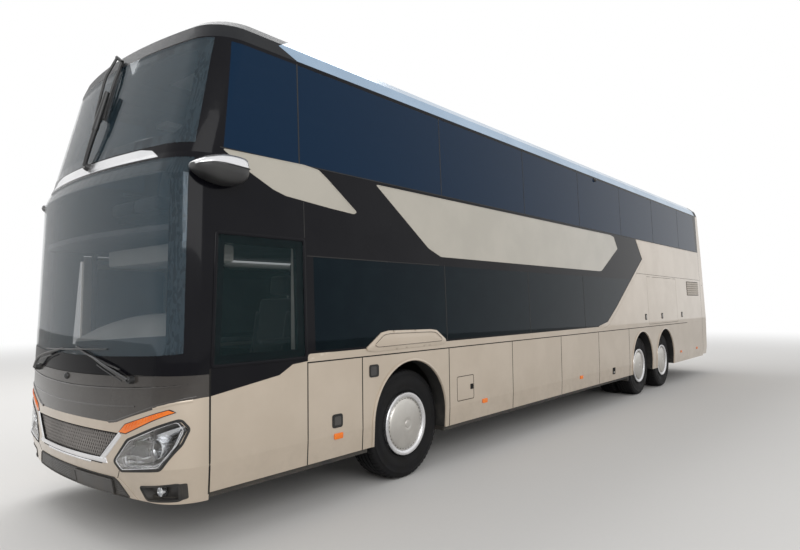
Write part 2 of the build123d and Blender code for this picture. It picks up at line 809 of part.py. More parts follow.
# Rows: floor height, side, front row, number of rows
seat_rows = (
    (low_floor, -1, 3500, 4),
    (upper_floor_top, 1, 6150, 4),
    (upper_floor_top, 1, 1950, 2),
    (upper_floor_top, 1, -1750, 5),
    (upper_floor_top, -1, 6150, 14),
)
benches = []
for floor_z, side, first, count in seat_rows:
    for row in range(count):
        low_y, high_y = sorted((side * aisle_half, side * bench_outer))
        benches.append(bench(first - row * pitch, floor_z, low_y, high_y))
finish(joined(benches), "passenger_seats")

# Driver's place
cab_y = 560
driver_seat_profile = ((0, 0), (0, 260), (-60, 290), (-60, 390), (420, 400), (560, 1080), (680, 1060),
                       (540, 320), (420, 260), (400, 0))
with BuildPart() as driver_seat:
    with BuildSketch(Plane.XZ.offset(-cab_y - 250)):
        with BuildLine():
            Polyline(*[(5900 - x, cab_floor_top + z) for x, z in driver_seat_profile], close=True)
        make_face()
    extrude(amount=500)
finish(driver_seat.part, "driver_seat")

dash_front = 6740
dash_points = ((dash_front, cab_floor_top), (dash_front, 1300), (6600, 1340), (6420, 1330), (6330, 1230),
               (6400, 1120), (6560, 1050), (6600, cab_floor_top))
with BuildPart() as dashboard:
    with BuildSketch(Plane.XZ.offset(-1050)):
        with BuildLine():
            Polyline(*dash_points, close=True)
        make_face()
    extrude(amount=1300)
finish(dashboard.part, "dashboard")

wheel_ring = 225
rim_section = 16
hub_x = 6300
hub_z = 1290
ring_plane = Plane(origin=(hub_x, cab_y, hub_z), x_dir=(0, 1, 0), z_dir=(-cos(radians(60)), 0, sin(radians(60))))
with BuildPart() as steering_wheel:
    with BuildSketch(Plane(origin=(hub_x, cab_y, hub_z), x_dir=ring_plane.x_dir, z_dir=ring_plane.y_dir)):
        with Locations((wheel_ring, 0)):
            RegularPolygon(rim_section, 8)
    revolve(axis=Axis((hub_x, cab_y, hub_z), ring_plane.z_dir))
    with BuildSketch(ring_plane.offset(-12)):
        Circle(60)
        for turn in (0, 180, 270):
            with Locations((wheel_ring / 2 * cos(radians(turn)), wheel_ring / 2 * sin(radians(turn)))):
                Rectangle(wheel_ring if turn != 270 else 36, 36 if turn != 270 else wheel_ring)
    extrude(amount=24)
    with BuildSketch(ring_plane.offset(-12)):
        Circle(32)
    extrude(amount=-110)
    add(dashboard.part, mode=Mode.SUBTRACT)
finish(steering_wheel.part, "steering_wheel")

# Engine block between the rear rails
with BuildPart() as engine:
    with BuildSketch(Plane.XY.offset(560)):
        with Locations((-5850, 0)):
            Rectangle(1700, 2 * (rail_half - rail_width / 2))
    extrude(amount=900)
finish(engine.part, "engine")

# Axles. The front beam drops under the floor; the rear two carry their springs up to the rails
beam_width = 110
boss_radius = 48
boss_half = 80
stub_radius = 60
spring_radius = 95
diff_radius = 200


def upright(x, y, radius, low, high):
    with BuildPart() as post:
        with BuildSketch(Plane.XY.offset(low)):
            with Locations((x, y)):
                Circle(radius)
        extrude(amount=high - low)
    return post.part


def cross_tube(x, radius, low_y, high_y):
    with BuildPart() as tube:
        with BuildSketch(Plane.XZ.offset(-low_y)):
            with Locations((x, tyre_radius)):
                Circle(radius)
        extrude(amount=low_y - high_y)
    return tube.part


drop_low = 205
drop_high = rail_low - seat_gap
drop_points = ((-kingpin_half, 570), (-kingpin_half, 470), (-700, 400), (-560, drop_low), (560, drop_low),
               (700, 400), (kingpin_half, 470), (kingpin_half, 570), (760, 540), (600, drop_high),
               (-600, drop_high), (-760, 540))
with BuildPart() as front_axle:
    with BuildSketch(Plane.YZ.offset(axle_front - beam_width / 2)):
        with BuildLine():
            Polyline(*drop_points, close=True)
        make_face()
    extrude(amount=beam_width)
    for side in (-1, 1):
        add(upright(axle_front, side * kingpin_half, boss_radius, tyre_radius - boss_half, tyre_radius + boss_half))
rear_axles = []
stub_end = track_half + 109
for x in (axle_drive, axle_tag):
    with BuildPart() as rear_axle:
        add(cross_tube(x, 85, -700, 700))
        for side in (-1, 1):
            low_y, high_y = sorted((side * 650, side * stub_end))
            add(cross_tube(x, stub_radius, low_y, high_y))
            add(upright(x, side * rail_half, spring_radius, tyre_radius, rail_rear_low - seat_gap))
        if x == axle_drive:
            with BuildSketch(Plane.XZ.offset(-150)):
                with Locations((x, tyre_radius)):
                    Circle(diff_radius - 30)
            extrude(amount=300)
    rear_axles.append(rear_axle.part)
finish(joined([front_axle.part] + rear_axles), "axles")

# Steering knuckles: a yoke round the beam's boss and the stub axle
ear = 40
yoke_half = 58
web_inner = 62
web_outer = 100
turn_face = turn_gap


def knuckle(side):
    with BuildPart() as yoke:
        for low in (tyre_radius - boss_half - turn_face - ear, tyre_radius + boss_half + turn_face):
            with BuildSketch(Plane.XY.offset(low)):
                with Locations((axle_front, side * kingpin_half)):
                    Circle(yoke_half)
                with Locations((axle_front, side * (kingpin_half + web_outer / 2))):
                    Rectangle(2 * yoke_half, web_outer)
            extrude(amount=ear)
        low_y, high_y = sorted((side * (kingpin_half + web_inner), side * (kingpin_half + web_outer)))
        add(block_at((axle_front - yoke_half, low_y, tyre_radius - boss_half - turn_face),
                     (axle_front + yoke_half, high_y, tyre_radius + boss_half + turn_face)))
        low_y, high_y = sorted((side * (kingpin_half + web_inner + 10), side * stub_end))
        add(cross_tube(axle_front, stub_radius, low_y, high_y))
    return yoke.part


finish(knuckle(1), "front_left_knuckle")
finish(knuckle(-1), "front_right_knuckle")

# Wheels and tyres, turned about the axle. Profile points: distance outwards from the tyre's middle, radius
bead = 105
tyre_outside = ((-tyre_width / 2, 404), (-128, 505), (-100, tyre_radius), (100, tyre_radius), (128, 505),
                (tyre_width / 2, 404))
tyre_inside = ((-tyre_width / 2, 396), (-bead, rim_radius + turn_gap), (bead, rim_radius + turn_gap),
               (tyre_width / 2, 396))
tyre_flats = 36
bore = stub_radius + turn_gap
wheel_profile = ((-132, rim_radius), (132, rim_radius), (142, 299), (152, 297), (155, 288), (150, 246), (128, 240),
                 (128, 214), (146, 208), (158, 160), (160, 86), (168, 70), (174, 58), (176, 0), (110, 0), (110, bore),
                 (66, bore), (66, 190), (90, 272), (-132, 272))
inner_rim_profile = ((-twin_spacing - 132, 272), (-twin_spacing - 132, rim_radius), (-132, rim_radius),
                     (-132, 272))
cover_slots = 24  # slots in the groove round the wheel's cover
cover_slot_circle = 227
cover_slot = (34, 11)
cover_slot_depth = 12
cover_groove_out = 128


def turned(profile):
    with BuildPart() as ring:
        with BuildSketch(Plane(origin=(0, 0, tyre_radius), x_dir=(0, 1, 0), z_dir=(1, 0, 0))):
            with BuildLine():
                Polyline(*[(track_half + out, r) for out, r in profile], close=True)
            make_face()
        revolve(axis=Axis((0, 0, tyre_radius), (0, 1, 0)))
    return ring.part


with BuildPart() as single_wheel:
    add(turned(wheel_profile))
    with BuildSketch(Plane(origin=(0, track_half + cover_groove_out, tyre_radius), x_dir=(1, 0, 0), z_dir=(0, 1, 0))):
        with PolarLocations(cover_slot_circle, cover_slots):
            SlotOverall(*cover_slot, rotation=90)
    extrude(amount=-cover_slot_depth, mode=Mode.SUBTRACT)
with BuildPart() as twin_wheel:
    add(single_wheel.part)
    add(turned(inner_rim_profile))


def flat_sided(profile, middle):
    with BuildPart() as solid:
        for out, r in profile:
            with BuildSketch(Plane(origin=(0, middle + out, tyre_radius), x_dir=(0, 0, 1), z_dir=(0, 1, 0))):
                RegularPolygon(r, tyre_flats, major_radius=False, rotation=180 / tyre_flats)
        loft(ruled=True)
    return solid.part


def tyre_at(middle):
    with BuildPart() as ring:
        add(flat_sided(tyre_outside, middle))
        add(flat_sided(tyre_inside, middle), mode=Mode.SUBTRACT)
    return ring.part


single_tyre = tyre_at(track_half)
twin_tyre = joined([single_tyre, tyre_at(track_half - twin_spacing)])
wheel_places = (("front", axle_front), ("drive", axle_drive), ("tag", axle_tag))
for name, axle_x in wheel_places:
    tyre = single_tyre
    wheel = single_wheel.part
    if name == "drive":
        tyre = twin_tyre
        wheel = twin_wheel.part
    place = Location((axle_x, 0, 0))
    finish(tyre.moved(place), f"{name}_left_tyre")
    finish(to_right(tyre).moved(place), f"{name}_right_tyre")
    finish(wheel.moved(place), f"{name}_left_wheel")
    finish(to_right(wheel).moved(place), f"{name}_right_wheel")

# Passenger doors: a turning post with two arms carries each leaf, which stays parallel as it swings out
post_radius = 25
post_in = 130  # post axis behind the body's widest line
post_back = 70  # and behind the door's front edge
arm_reach = 620
arm_offset = 30
elbow = (90, 110)
arm_width = 30
arm_height = 40
eye_radius = 28
pin_radius = 12
ear_height = 12
low_arm = 820
arm_drop = 62  # upper arm below the door's top
door_glass_low = 1150
door_grip = (90, 200, 980, 1060)  # from the leaf's rear edge, then heights
grip_depth = 12


def door_pieces(span):
    rear, front, top = span
    post = (front - post_back, half_width - post_in - 15)
    knee = (post[0] - elbow[0], post[1] - elbow[1])
    eye = (post[0] - arm_reach, post[1] - arm_offset)
    post_part = [upright(post[0], post[1], post_radius, low_floor + seat_gap,
                         upper_floor_top - plate - seat_gap)]
    leaf_parts = []
    for level in (low_arm, top - arm_drop):
        with BuildPart() as arm:
            with BuildSketch(Plane.XY.offset(level - arm_height / 2)):
                with BuildLine():
                    Polyline(post, knee, eye)
                trace(line_width=arm_width)
                with Locations(eye):
                    Circle(eye_radius)
            extrude(amount=arm_height)
            add(upright(*eye, pin_radius + turn_gap, level - arm_height, level + arm_height), mode=Mode.SUBTRACT)
        post_part.append(arm.part)
        ear_low = level - arm_height / 2 - turn_gap - ear_height
        ear_high = level + arm_height / 2 + turn_gap + ear_height
        with BuildPart() as bracket:
            add(block_at((eye[0] - eye_radius, eye[1], ear_low), (eye[0] + eye_radius, half_width - 5, ear_high)))
            with BuildSketch(Plane.XY.offset(ear_low)):
                with Locations(eye):
                    Circle(eye_radius)
            extrude(amount=ear_high - ear_low)
            add(upright(*eye, eye_radius + 8, level - arm_height / 2 - turn_gap, level + arm_height / 2 + turn_gap),
                mode=Mode.SUBTRACT)
            add(upright(*eye, pin_radius, ear_low, ear_high))
            add(inner_body, mode=Mode.INTERSECT)
        leaf_parts.append(bracket.part)
    door = panel(left_shell, door_block(span))
    glass = side_block(box_points(rear + 60, front - 60, door_glass_low, top - 60), 40)
    hole = side_block(box_points(rear + 120, front - 120, door_glass_low + 60, top - 120), 30)
    pane = panel(thin_shell.part, glass)
    grip = panel(flank(rear, front, door_bottom, top, wall, grip_depth),
                 side_block(box_points(rear + door_grip[0], rear + door_grip[1], *door_grip[2:]), 12))
    leaf = less(door, [pane, hole, grip])
    return joined(post_part), joined([leaf] + leaf_parts), pane


for name, span in (("front_door", front_door_span), ("middle_door", middle_door_span)):
    post_part, leaf, pane = door_pieces(span)
    finish(to_right(post_part), f"{name}_arm")
    finish(to_right(leaf), name)
    finish(to_right(pane), f"{name}_glass")

# Wipers: two on the lower windscreen and one with an upright arm on the upper one
arm_thick = 16
arm_across = 30
pivot_radius = 28


def bar(start, end, across, deep):
    start = Vector(*start)
    end = Vector(*end)
    along = end - start
    with BuildPart() as rod:
        with BuildSketch(Plane(origin=start, x_dir=along.cross(Vector(1, 0, 0)), z_dir=along)):
            Rectangle(across, deep)
        extrude(amount=along.length)
    return rod.part


# Pivot, then the blade's two ends, each as left and height on the glass
wiper_places = (
    ((840, 1180), (170, 1362), (640, 1290)),
    ((-840, 1180), (60, 1345), (-520, 1262)),
    ((-64, 2810), (14, 3736), (4, 3242)),
)
arm_stand = 42  # the arm's height over the glass at its pivot
blade_stand = 16
blade_size = (20, 14)


def over_glass(places, stand):
    (start_y, start_z), (end_y, end_z) = places
    middle = nose_x((start_y + end_y) / 2, (start_z + end_z) / 2)
    lift = middle - (nose_x(start_y, start_z) + nose_x(end_y, end_z)) / 2 + stand
    return [(nose_x(y, z) + lift, y, z) for y, z in places]


wipers = []
for pivot, tip, heel in wiper_places:
    waist = ((tip[0] + heel[0]) / 2, (tip[1] + heel[1]) / 2)
    arm_start, arm_end = over_glass((pivot, waist), arm_stand)
    with BuildPart() as wiper:
        add(bar(arm_start, (arm_end[0] - arm_stand + blade_stand, *waist), arm_across, arm_thick))
        add(bar(*over_glass((heel, tip), blade_stand), *blade_size))
        with BuildSketch(Plane.YZ.offset(arm_start[0] + arm_thick / 2)):
            with Locations(pivot):
                Circle(pivot_radius)
        extrude(amount=-side_reach / 4)
        add(outer_body, mode=Mode.SUBTRACT)
    wipers.append(wiper.part)
finish(joined([part.solids().sort_by(SortBy.VOLUME)[-1] for part in wipers]), "wipers")

# Camera wings high on the front corners, rounded bodies that swell towards the front
# Sections: x, inner and outer edge, bottom, top
wing_sections = (
    (6290, 1195, 1335, 2630, 2745),
    (6330, 1185, 1385, 2568, 2766),
    (6450, 1180, 1408, 2536, 2764),
    (6600, 1165, 1420, 2536, 2724),
    (6730, 1120, 1402, 2562, 2674),
    (6815, 1090, 1362, 2596, 2640),
)
with BuildPart() as wing:
    for x, inner_y, outer_y, low, high in wing_sections:
        with BuildSketch(Plane.YZ.offset(x)):
            with Locations(((inner_y + outer_y) / 2, (low + high) / 2)):
                Ellipse((outer_y - inner_y) / 2, (high - low) / 2)
    loft()
    add(outer_body, mode=Mode.SUBTRACT)
finish(joined([wing.part, to_right(wing.part)]), "camera_wings")
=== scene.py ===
import math
import bmesh
import bpy
from mathutils import Matrix, Vector
from mathutils.geometry import delaunay_2d_cdt


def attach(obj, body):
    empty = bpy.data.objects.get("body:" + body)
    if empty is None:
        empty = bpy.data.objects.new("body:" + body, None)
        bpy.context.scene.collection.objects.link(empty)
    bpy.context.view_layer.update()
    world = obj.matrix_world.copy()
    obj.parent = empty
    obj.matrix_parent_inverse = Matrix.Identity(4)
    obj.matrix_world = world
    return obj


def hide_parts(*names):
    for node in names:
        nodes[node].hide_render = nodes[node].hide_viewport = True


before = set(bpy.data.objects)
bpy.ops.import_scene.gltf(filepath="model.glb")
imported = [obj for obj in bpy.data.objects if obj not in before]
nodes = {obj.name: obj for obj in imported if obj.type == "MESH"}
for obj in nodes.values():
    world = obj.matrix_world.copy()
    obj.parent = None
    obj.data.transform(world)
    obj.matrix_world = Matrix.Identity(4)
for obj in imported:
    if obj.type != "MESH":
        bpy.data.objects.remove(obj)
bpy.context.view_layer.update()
scene = bpy.context.scene
print("frame loaded")

# The camera stands where the photograph was taken from; metres and degrees
cameraView = {
    "place": (8.945, 4.984, 1.677),
    "yaw": -140.12,
    "pitch": 3.065,
    "roll": -0.704,
    "lens": 27.147,
    "shift": (-0.000975, -0.00296),
}


def makeCamera(view):
    yaw, pitch, roll = (math.radians(view[key]) for key in ("yaw", "pitch", "roll"))
    ahead = Vector((math.cos(yaw) * math.cos(pitch), math.sin(yaw) * math.cos(pitch), math.sin(pitch)))
    right = ahead.cross(Vector((0, 0, 1))).normalized()
    up = right.cross(ahead)
    tiltedRight = math.cos(roll) * right + math.sin(roll) * up
    tiltedUp = -math.sin(roll) * right + math.cos(roll) * up
    data = bpy.data.cameras.new("camera")
    data.sensor_width = 36
    data.lens = view["lens"]
    data.shift_x, data.shift_y = view["shift"]
    data.clip_end = 500
    camera = bpy.data.objects.new("camera", data)
    turn = Matrix((tiltedRight, tiltedUp, -ahead)).transposed().to_4x4()
    camera.matrix_world = Matrix.Translation(view["place"]) @ turn
    scene.collection.objects.link(camera)
    scene.camera = camera


makeCamera(cameraView)
scene.view_settings.view_transform = "Standard"


# Node writing
class Link:
    # wraps one output socket, so that maths on it adds Math nodes
    def __init__(self, tree, socket):
        self.tree = tree
        self.socket = socket

    def maths(self, operation, first, second):
        node = self.tree.nodes.new("ShaderNodeMath")
        node.operation = operation
        for slot, value in zip(node.inputs, (first, second)):
            if isinstance(value, Link):
                self.tree.links.new(value.socket, slot)
            else:
                slot.default_value = value
        return Link(self.tree, node.outputs[0])

    def __add__(self, other):
        return self.maths("ADD", self, other)

    def __radd__(self, other):
        return self.maths("ADD", other, self)

    def __mul__(self, other):
        return self.maths("MULTIPLY", self, other)

    def __rmul__(self, other):
        return self.maths("MULTIPLY", other, self)


class Finish:
    # one material being written
    def __init__(self, name):
        self.material = bpy.data.materials.new(name)
        self.material.use_nodes = True
        self.tree = self.material.node_tree
        self.tree.nodes.clear()

    def node(self, kind, settings=None, inputs=None, output=0):
        node = self.tree.nodes.new(kind)
        for key, value in (settings or {}).items():
            setattr(node, key, value)
        for key, value in (inputs or {}).items():
            if isinstance(value, Link):
                self.tree.links.new(value.socket, node.inputs[key])
            else:
                node.inputs[key].default_value = value
        return Link(self.tree, node.outputs[output])

    def place(self):
        return self.node("ShaderNodeTexCoord", output="Object")

    def height(self, place):
        return self.node("ShaderNodeSeparateXYZ", None, {0: place}, "Z")

    def noise(self, vector, scale, detail=3.0, roughness=0.55):
        return self.node("ShaderNodeTexNoise", None,
                         {"Vector": vector, "Scale": scale, "Detail": detail, "Roughness": roughness})

    def ramp(self, value, low, high):
        return self.node("ShaderNodeMapRange", {"interpolation_type": "SMOOTHSTEP"},
                         {"Value": value, "From Min": low, "From Max": high})

    def mix(self, factor, first, second):
        # of the Mix node's sockets, 0 is the factor, 6 and 7 are the colours
        first, second = (value if isinstance(value, Link) else (*value, 1) for value in (first, second))
        return self.node("ShaderNodeMix", {"data_type": "RGBA"}, {0: factor, 6: first, 7: second}, 2)

    def bump(self, height, strength, distance):
        inputs = {"Height": height, "Strength": strength, "Distance": distance}
        return self.node("ShaderNodeBump", None, inputs)

    def surface(self, inputs):
        shader = self.node("ShaderNodeBsdfPrincipled", None, inputs)
        output = self.tree.nodes.new("ShaderNodeOutputMaterial")
        self.tree.links.new(shader.socket, output.inputs["Surface"])
        return self.material


# Finishes
finishTable = {
    # colour, second colour, metallic, roughness low and high, coat, fine scale, bump strength, bump depth
    "champagnePaint": ((0.565, 0.480, 0.385), (0.525, 0.442, 0.350), 0.35, 0.30, 0.38, 0.8, 900, 0.04,
                       0.0002),
    # the upper side's paint: partly the swoosh and leaf's own greyer silver tone, partly painted shade
    # standing for a reflection of dark surroundings
    "upperPaintAndPaintedShade": ((0.430, 0.400, 0.340), (0.395, 0.368, 0.312), 0.40, 0.28, 0.36, 0.8, 900, 0.04, 0.0002),
    "blackGloss": ((0.004, 0.004, 0.006), (0.006, 0.006, 0.008), 0.0, 0.10, 0.20, 0.14, 160, 0.02, 0.0003),
    "frontBlack": ((0.040, 0.035, 0.032), (0.055, 0.049, 0.044), 0.15, 0.20, 0.30, 0.6, 420, 0.03, 0.0003),
    "roofBlack": ((0.009, 0.010, 0.013), (0.017, 0.018, 0.020), 0.0, 0.40, 0.60, 0.10, 90, 0.05, 0.0006),
    "satinSilver": ((0.78, 0.78, 0.79), (0.70, 0.70, 0.72), 0.85, 0.18, 0.28, 0.3, 500, 0.05, 0.0002),
    # the roof coves' silver; its blue is a painted sky reflection
    "coveSilverPaintedSky": ((0.35, 0.47, 0.61), (0.30, 0.41, 0.54), 0.85, 0.18, 0.28, 0.3, 500, 0.05, 0.0002),
    "polishedChrome": ((0.86, 0.86, 0.87), (0.78, 0.78, 0.80), 1.0, 0.05, 0.14, 0.0, 300, 0.02, 0.0001),
    "seamShadow": ((0.012, 0.012, 0.012), (0.020, 0.019, 0.018), 0.0, 0.7, 0.9, 0.0, 300, 0.15, 0.0004),
    "windowRubber": ((0.018, 0.018, 0.018), (0.030, 0.029, 0.028), 0.0, 0.45, 0.65, 0.0, 600, 0.2, 0.0003),
    "grillePlastic": ((0.050, 0.047, 0.044), (0.034, 0.032, 0.031), 0.0, 0.35, 0.5, 0.2, 700, 0.15, 0.0003),
    "grilleMesh": ((0.230, 0.212, 0.198), (0.180, 0.166, 0.155), 0.2, 0.35, 0.5, 0.2, 700, 0.15, 0.0003),
    "lampHousing": ((0.34, 0.33, 0.315), (0.26, 0.25, 0.24), 0.5, 0.25, 0.4, 0.2, 500, 0.05, 0.0002),
    "lampMirror": ((0.80, 0.81, 0.82), (0.68, 0.69, 0.71), 1.0, 0.08, 0.18, 0.0, 260, 0.03, 0.0002),
    "chassisSteel": ((0.030, 0.030, 0.031), (0.060, 0.055, 0.048), 0.2, 0.5, 0.75, 0.0, 120, 0.3, 0.001),
    "engineCasting": ((0.16, 0.16, 0.165), (0.09, 0.088, 0.085), 0.3, 0.5, 0.7, 0.0, 220, 0.5, 0.001),
    "deckVinyl": ((0.13, 0.13, 0.14), (0.09, 0.09, 0.10), 0.0, 0.5, 0.65, 0.0, 350, 0.2, 0.0005),
    "cabPlastic": ((0.60, 0.585, 0.55), (0.54, 0.53, 0.50), 0.0, 0.45, 0.6, 0.0, 1100, 0.25, 0.0004),
    "cabDark": ((0.035, 0.036, 0.040), (0.05, 0.05, 0.054), 0.0, 0.42, 0.6, 0.0, 1100, 0.25, 0.0004),
    "wheelSilver": ((0.60, 0.58, 0.54), (0.52, 0.50, 0.47), 0.75, 0.26, 0.36, 0.4, 420, 0.04, 0.0002),
    "wiperBlack": ((0.015, 0.015, 0.016), (0.028, 0.028, 0.028), 0.0, 0.35, 0.5, 0.2, 500, 0.15, 0.0003),
}

# How much the colour coat itself mirrors under its lacquer; 0.5 is plain plastic
coatMirror = {"blackGloss": 0.06, "roofBlack": 0.12, "frontBlack": 0.25, "windowRubber": 0.25,
              "seamShadow": 0.1}

# Finishes that turn into a second one higher up the body: lower one, upper one, from which height to which.
# The side trim's upper one is partly its own greyer tone, partly painted shade; the silver trim's blue upper
# one is a painted sky reflection
upperToneAndPaintedReflection = {
    "sidePaint": ("champagnePaint", "upperPaintAndPaintedShade", 1.6, 2.1),
    "trimSilver": ("satinSilver", "coveSilverPaintedSky", 3.4, 3.6),
}

# Road dust: earth colour, heights where it begins and is full, share over the paint, added roughness
roadDust = {"colour": (0.30, 0.26, 0.21), "from": 0.95, "full": 0.30, "share": 0.55, "rough": 0.18}


def paintedSurface(name):
    base, upper, low, high = upperToneAndPaintedReflection.get(name, (name, None, 0, 0))
    colour, second, metallic, smooth, rough, coat, scale, strength, depth = finishTable[base]
    finish = Finish(name)
    place = finish.place()
    broad = finish.noise(place, 1.7, 4)
    fine = finish.noise(place, scale, 3)
    height = finish.height(place)
    patches = finish.ramp(finish.noise(place, 9, 5), 0.35, 0.75)
    dust = finish.ramp(height, roadDust["from"], roadDust["full"]) * patches
    shade = finish.mix(finish.ramp(broad, 0.35, 0.65), colour, second)
    # higher up the colour blends into the upper one: painted shade on the side trim, a painted sky reflection
    # on the silver trim
    if upper:
        over = finish.mix(finish.ramp(broad, 0.35, 0.65), *finishTable[upper][:2])
        shade = finish.mix(finish.ramp(height, low, high), shade, over)
    dusty = tuple(0.75 * part + 0.25 * earth for part, earth in zip(second, roadDust["colour"]))
    shade = finish.mix(dust * roadDust["share"], shade, dusty)
    grain = smooth + (rough - smooth) * finish.ramp(fine + broad * 0.5, 0.45, 1.0)
    return finish.surface({
        "Base Color": shade,
        "Metallic": metallic,
        "Roughness": grain + dust * roadDust["rough"],
        "Specular IOR Level": coatMirror.get(name, 0.5),
        "Coat Weight": coat,
        "Coat Roughness": 0.04,
        "Normal": finish.bump(fine, strength, depth),
    })


surfaces = {name: paintedSurface(name) for name in (*finishTable, *upperToneAndPaintedReflection)}


# Glass: dark privacy glass on the sides, clear blue-green glass in front and for the driver
glassTable = {
    # two colours, share of light through the body, cover, roughness, mirror and its tint, lacquer coat;
    # "upper" is a bluer colour above the belt, a painted sky reflection
    "privacyGlass": {"colour": (0.002, 0.004, 0.005), "second": (0.003, 0.006, 0.007), "through": 0.0,
                     "alpha": 0.96, "rough": 0.02, "mirror": 0.16, "tint": (0.40, 0.70, 1.0), "coat": 0.0,
                     "upper": (0.006, 0.019, 0.046)},
    "screenGlass": {"colour": (0.022, 0.045, 0.060), "second": (0.030, 0.056, 0.074), "through": 0.0,
                    "alpha": 0.36, "rough": 0.01, "mirror": 1.0, "tint": (0.66, 0.84, 1.0), "coat": 0.5},
    "cabGlass": {"colour": (0.010, 0.022, 0.024), "second": (0.014, 0.028, 0.030), "through": 0.0,
                 "alpha": 0.30, "rough": 0.01, "mirror": 0.25, "tint": (0.75, 0.95, 1.0), "coat": 0.0},
    "clearLens": {"colour": (0.93, 0.95, 0.96), "second": (0.88, 0.91, 0.93), "through": 1.0, "alpha": 0.30,
                  "rough": 0.01, "mirror": 0.5, "tint": (1.0, 1.0, 1.0), "coat": 0.0},
    "orangeLens": {"colour": (1.0, 0.23, 0.015), "second": (0.92, 0.18, 0.012), "through": 0.1, "alpha": 1.0,
                   "rough": 0.12, "mirror": 0.5, "tint": (1.0, 1.0, 1.0), "coat": 0.3},
    "redLens": {"colour": (0.55, 0.012, 0.010), "second": (0.40, 0.008, 0.008), "through": 0.15, "alpha": 1.0,
                "rough": 0.12, "mirror": 0.5, "tint": (1.0, 1.0, 1.0), "coat": 0.5},
}
# the side glass blends into a bluer colour above the belt: a painted sky reflection
glassPaintedSkyFrom = (2.2, 2.9)  # heights between which the side glass takes its upper colour


def glassSurface(name):
    values = glassTable[name]
    finish = Finish(name)
    place = finish.place()
    wave = finish.noise(place, 0.9, 2)
    smear = finish.noise(place, 5, 5)
    shade = finish.mix(finish.ramp(smear, 0.4, 0.7), values["colour"], values["second"])
    # above the belt the glass takes the bluer upper colour, a painted sky reflection
    if "upper" in values:
        shade = finish.mix(finish.ramp(finish.height(place), *glassPaintedSkyFrom), shade, values["upper"])
    return finish.surface({
        "Base Color": shade,
        "Roughness": values["rough"] + 0.02 * finish.ramp(smear, 0.45, 0.75),
        "Transmission Weight": values["through"],
        "IOR": 1.45,
        "Alpha": values["alpha"],
        "Specular IOR Level": values["mirror"],
        "Specular Tint": (*values["tint"], 1),
        "Coat Weight": values["coat"],
        "Coat Roughness": 0.01,
        "Normal": finish.bump(wave, 0.10, 0.01),
    })


for name in glassTable:
    surfaces[name] = glassSurface(name)


def tyreSurface():
    finish = Finish("tyreRubber")
    place = finish.place()
    fine = finish.noise(place, 500, 4)
    dust = finish.ramp(finish.noise(place, 6, 5), 0.35, 0.75)
    shade = finish.mix(dust * 0.5, (0.004, 0.004, 0.005), (0.016, 0.015, 0.013))
    return finish.surface({
        "Base Color": shade,
        "Roughness": 0.55 + 0.3 * dust,
        "Specular IOR Level": 0.2,
        "Normal": finish.bump(fine, 0.3, 0.0006),
    })


surfaces["tyreRubber"] = tyreSurface()


def seatSurface(name, colour, second, weave):
    finish = Finish(name)
    place = finish.place()
    threads = [finish.node("ShaderNodeTexWave", {"bands_direction": axis}, {"Vector": place, "Scale": weave})
               for axis in ("X", "Z")]
    cloth = threads[0] * threads[1]
    nap = finish.noise(place, 40, 4)
    return finish.surface({
        "Base Color": finish.mix(0.5 * cloth + 0.5 * finish.ramp(nap, 0.35, 0.65), colour, second),
        "Roughness": 0.75 + 0.15 * nap,
        "Sheen Weight": 0.3,
        "Normal": finish.bump(cloth + 0.3 * nap, 0.4, 0.0012),
    })


surfaces["seatCloth"] = seatSurface("seatCloth", (0.045, 0.050, 0.065), (0.085, 0.090, 0.105), 260)
surfaces["driverCloth"] = seatSurface("driverCloth", (0.020, 0.021, 0.024), (0.04, 0.041, 0.045), 300)


def glowSurface(name, colour, strength):
    finish = Finish(name)
    place = finish.place()
    ribs = finish.node("ShaderNodeTexWave", {"bands_direction": "X"}, {"Vector": place, "Scale": 20})
    return finish.surface({
        "Base Color": finish.mix(ribs, colour, tuple(0.9 * part for part in colour)),
        "Roughness": 0.3 + 0.1 * ribs,
        "Emission Color": finish.mix(ribs, colour, tuple(0.8 * part for part in colour)),
        "Emission Strength": strength,
    })


surfaces["cabinLight"] = glowSurface("cabinLight", (0.9, 0.93, 0.95), 0.6)
print("finishes written")


# The body's outside, in metres
bodyShape = {
    "halfLength": 7.0,
    "halfWidth": 1.275,
    "frontRadius": 5.0,
    "rearRadius": 9.0,
    "frontCorner": 0.30,
    "rearCorner": 0.22,
    "belt": 1.295,
    "roofEdge": 3.70,
    "top": 4.0,
    "edgeInset": (0.075, 0.380, 0.200),  # how far side, front and rear lean in up to the roof edge
    "roofDraw": (0.50, 0.62, 0.60),  # how much further they draw in over the rounded roof shoulder
}


def sideLean(z):
    share = (z - bodyShape["belt"]) / (bodyShape["roofEdge"] - bodyShape["belt"])
    return bodyShape["edgeInset"][0] * share


# Height, side inset, front inset, rear inset
bodyLevels = [(0.36, 0.013, 0.050, 0.100), (0.60, 0, 0, 0.010), (bodyShape["belt"], 0, 0.025, 0),
              (2.62, sideLean(2.62), 0.070, 0.080), (2.78, sideLean(2.78), 0.140, 0.090),
              (bodyShape["roofEdge"], *bodyShape["edgeInset"])]
shoulderSteps = 4
for step in range(1, shoulderSteps + 1):
    turn = math.pi / 2 * step / shoulderSteps
    rise = (bodyShape["top"] - bodyShape["roofEdge"]) * math.sin(turn)
    insets = [inset + draw * (1 - math.cos(turn))
              for inset, draw in zip(bodyShape["edgeInset"], bodyShape["roofDraw"])]
    bodyLevels.append((bodyShape["roofEdge"] + rise, *insets))


def levelAt(z):
    z = max(bodyLevels[0][0], min(bodyLevels[-1][0], z))
    for lower, upper in zip(bodyLevels, bodyLevels[1:]):
        if z <= upper[0]:
            part = (z - lower[0]) / (upper[0] - lower[0])
            return [a + (b - a) * part for a, b in zip(lower[1:], upper[1:])]
    return list(bodyLevels[-1][1:])


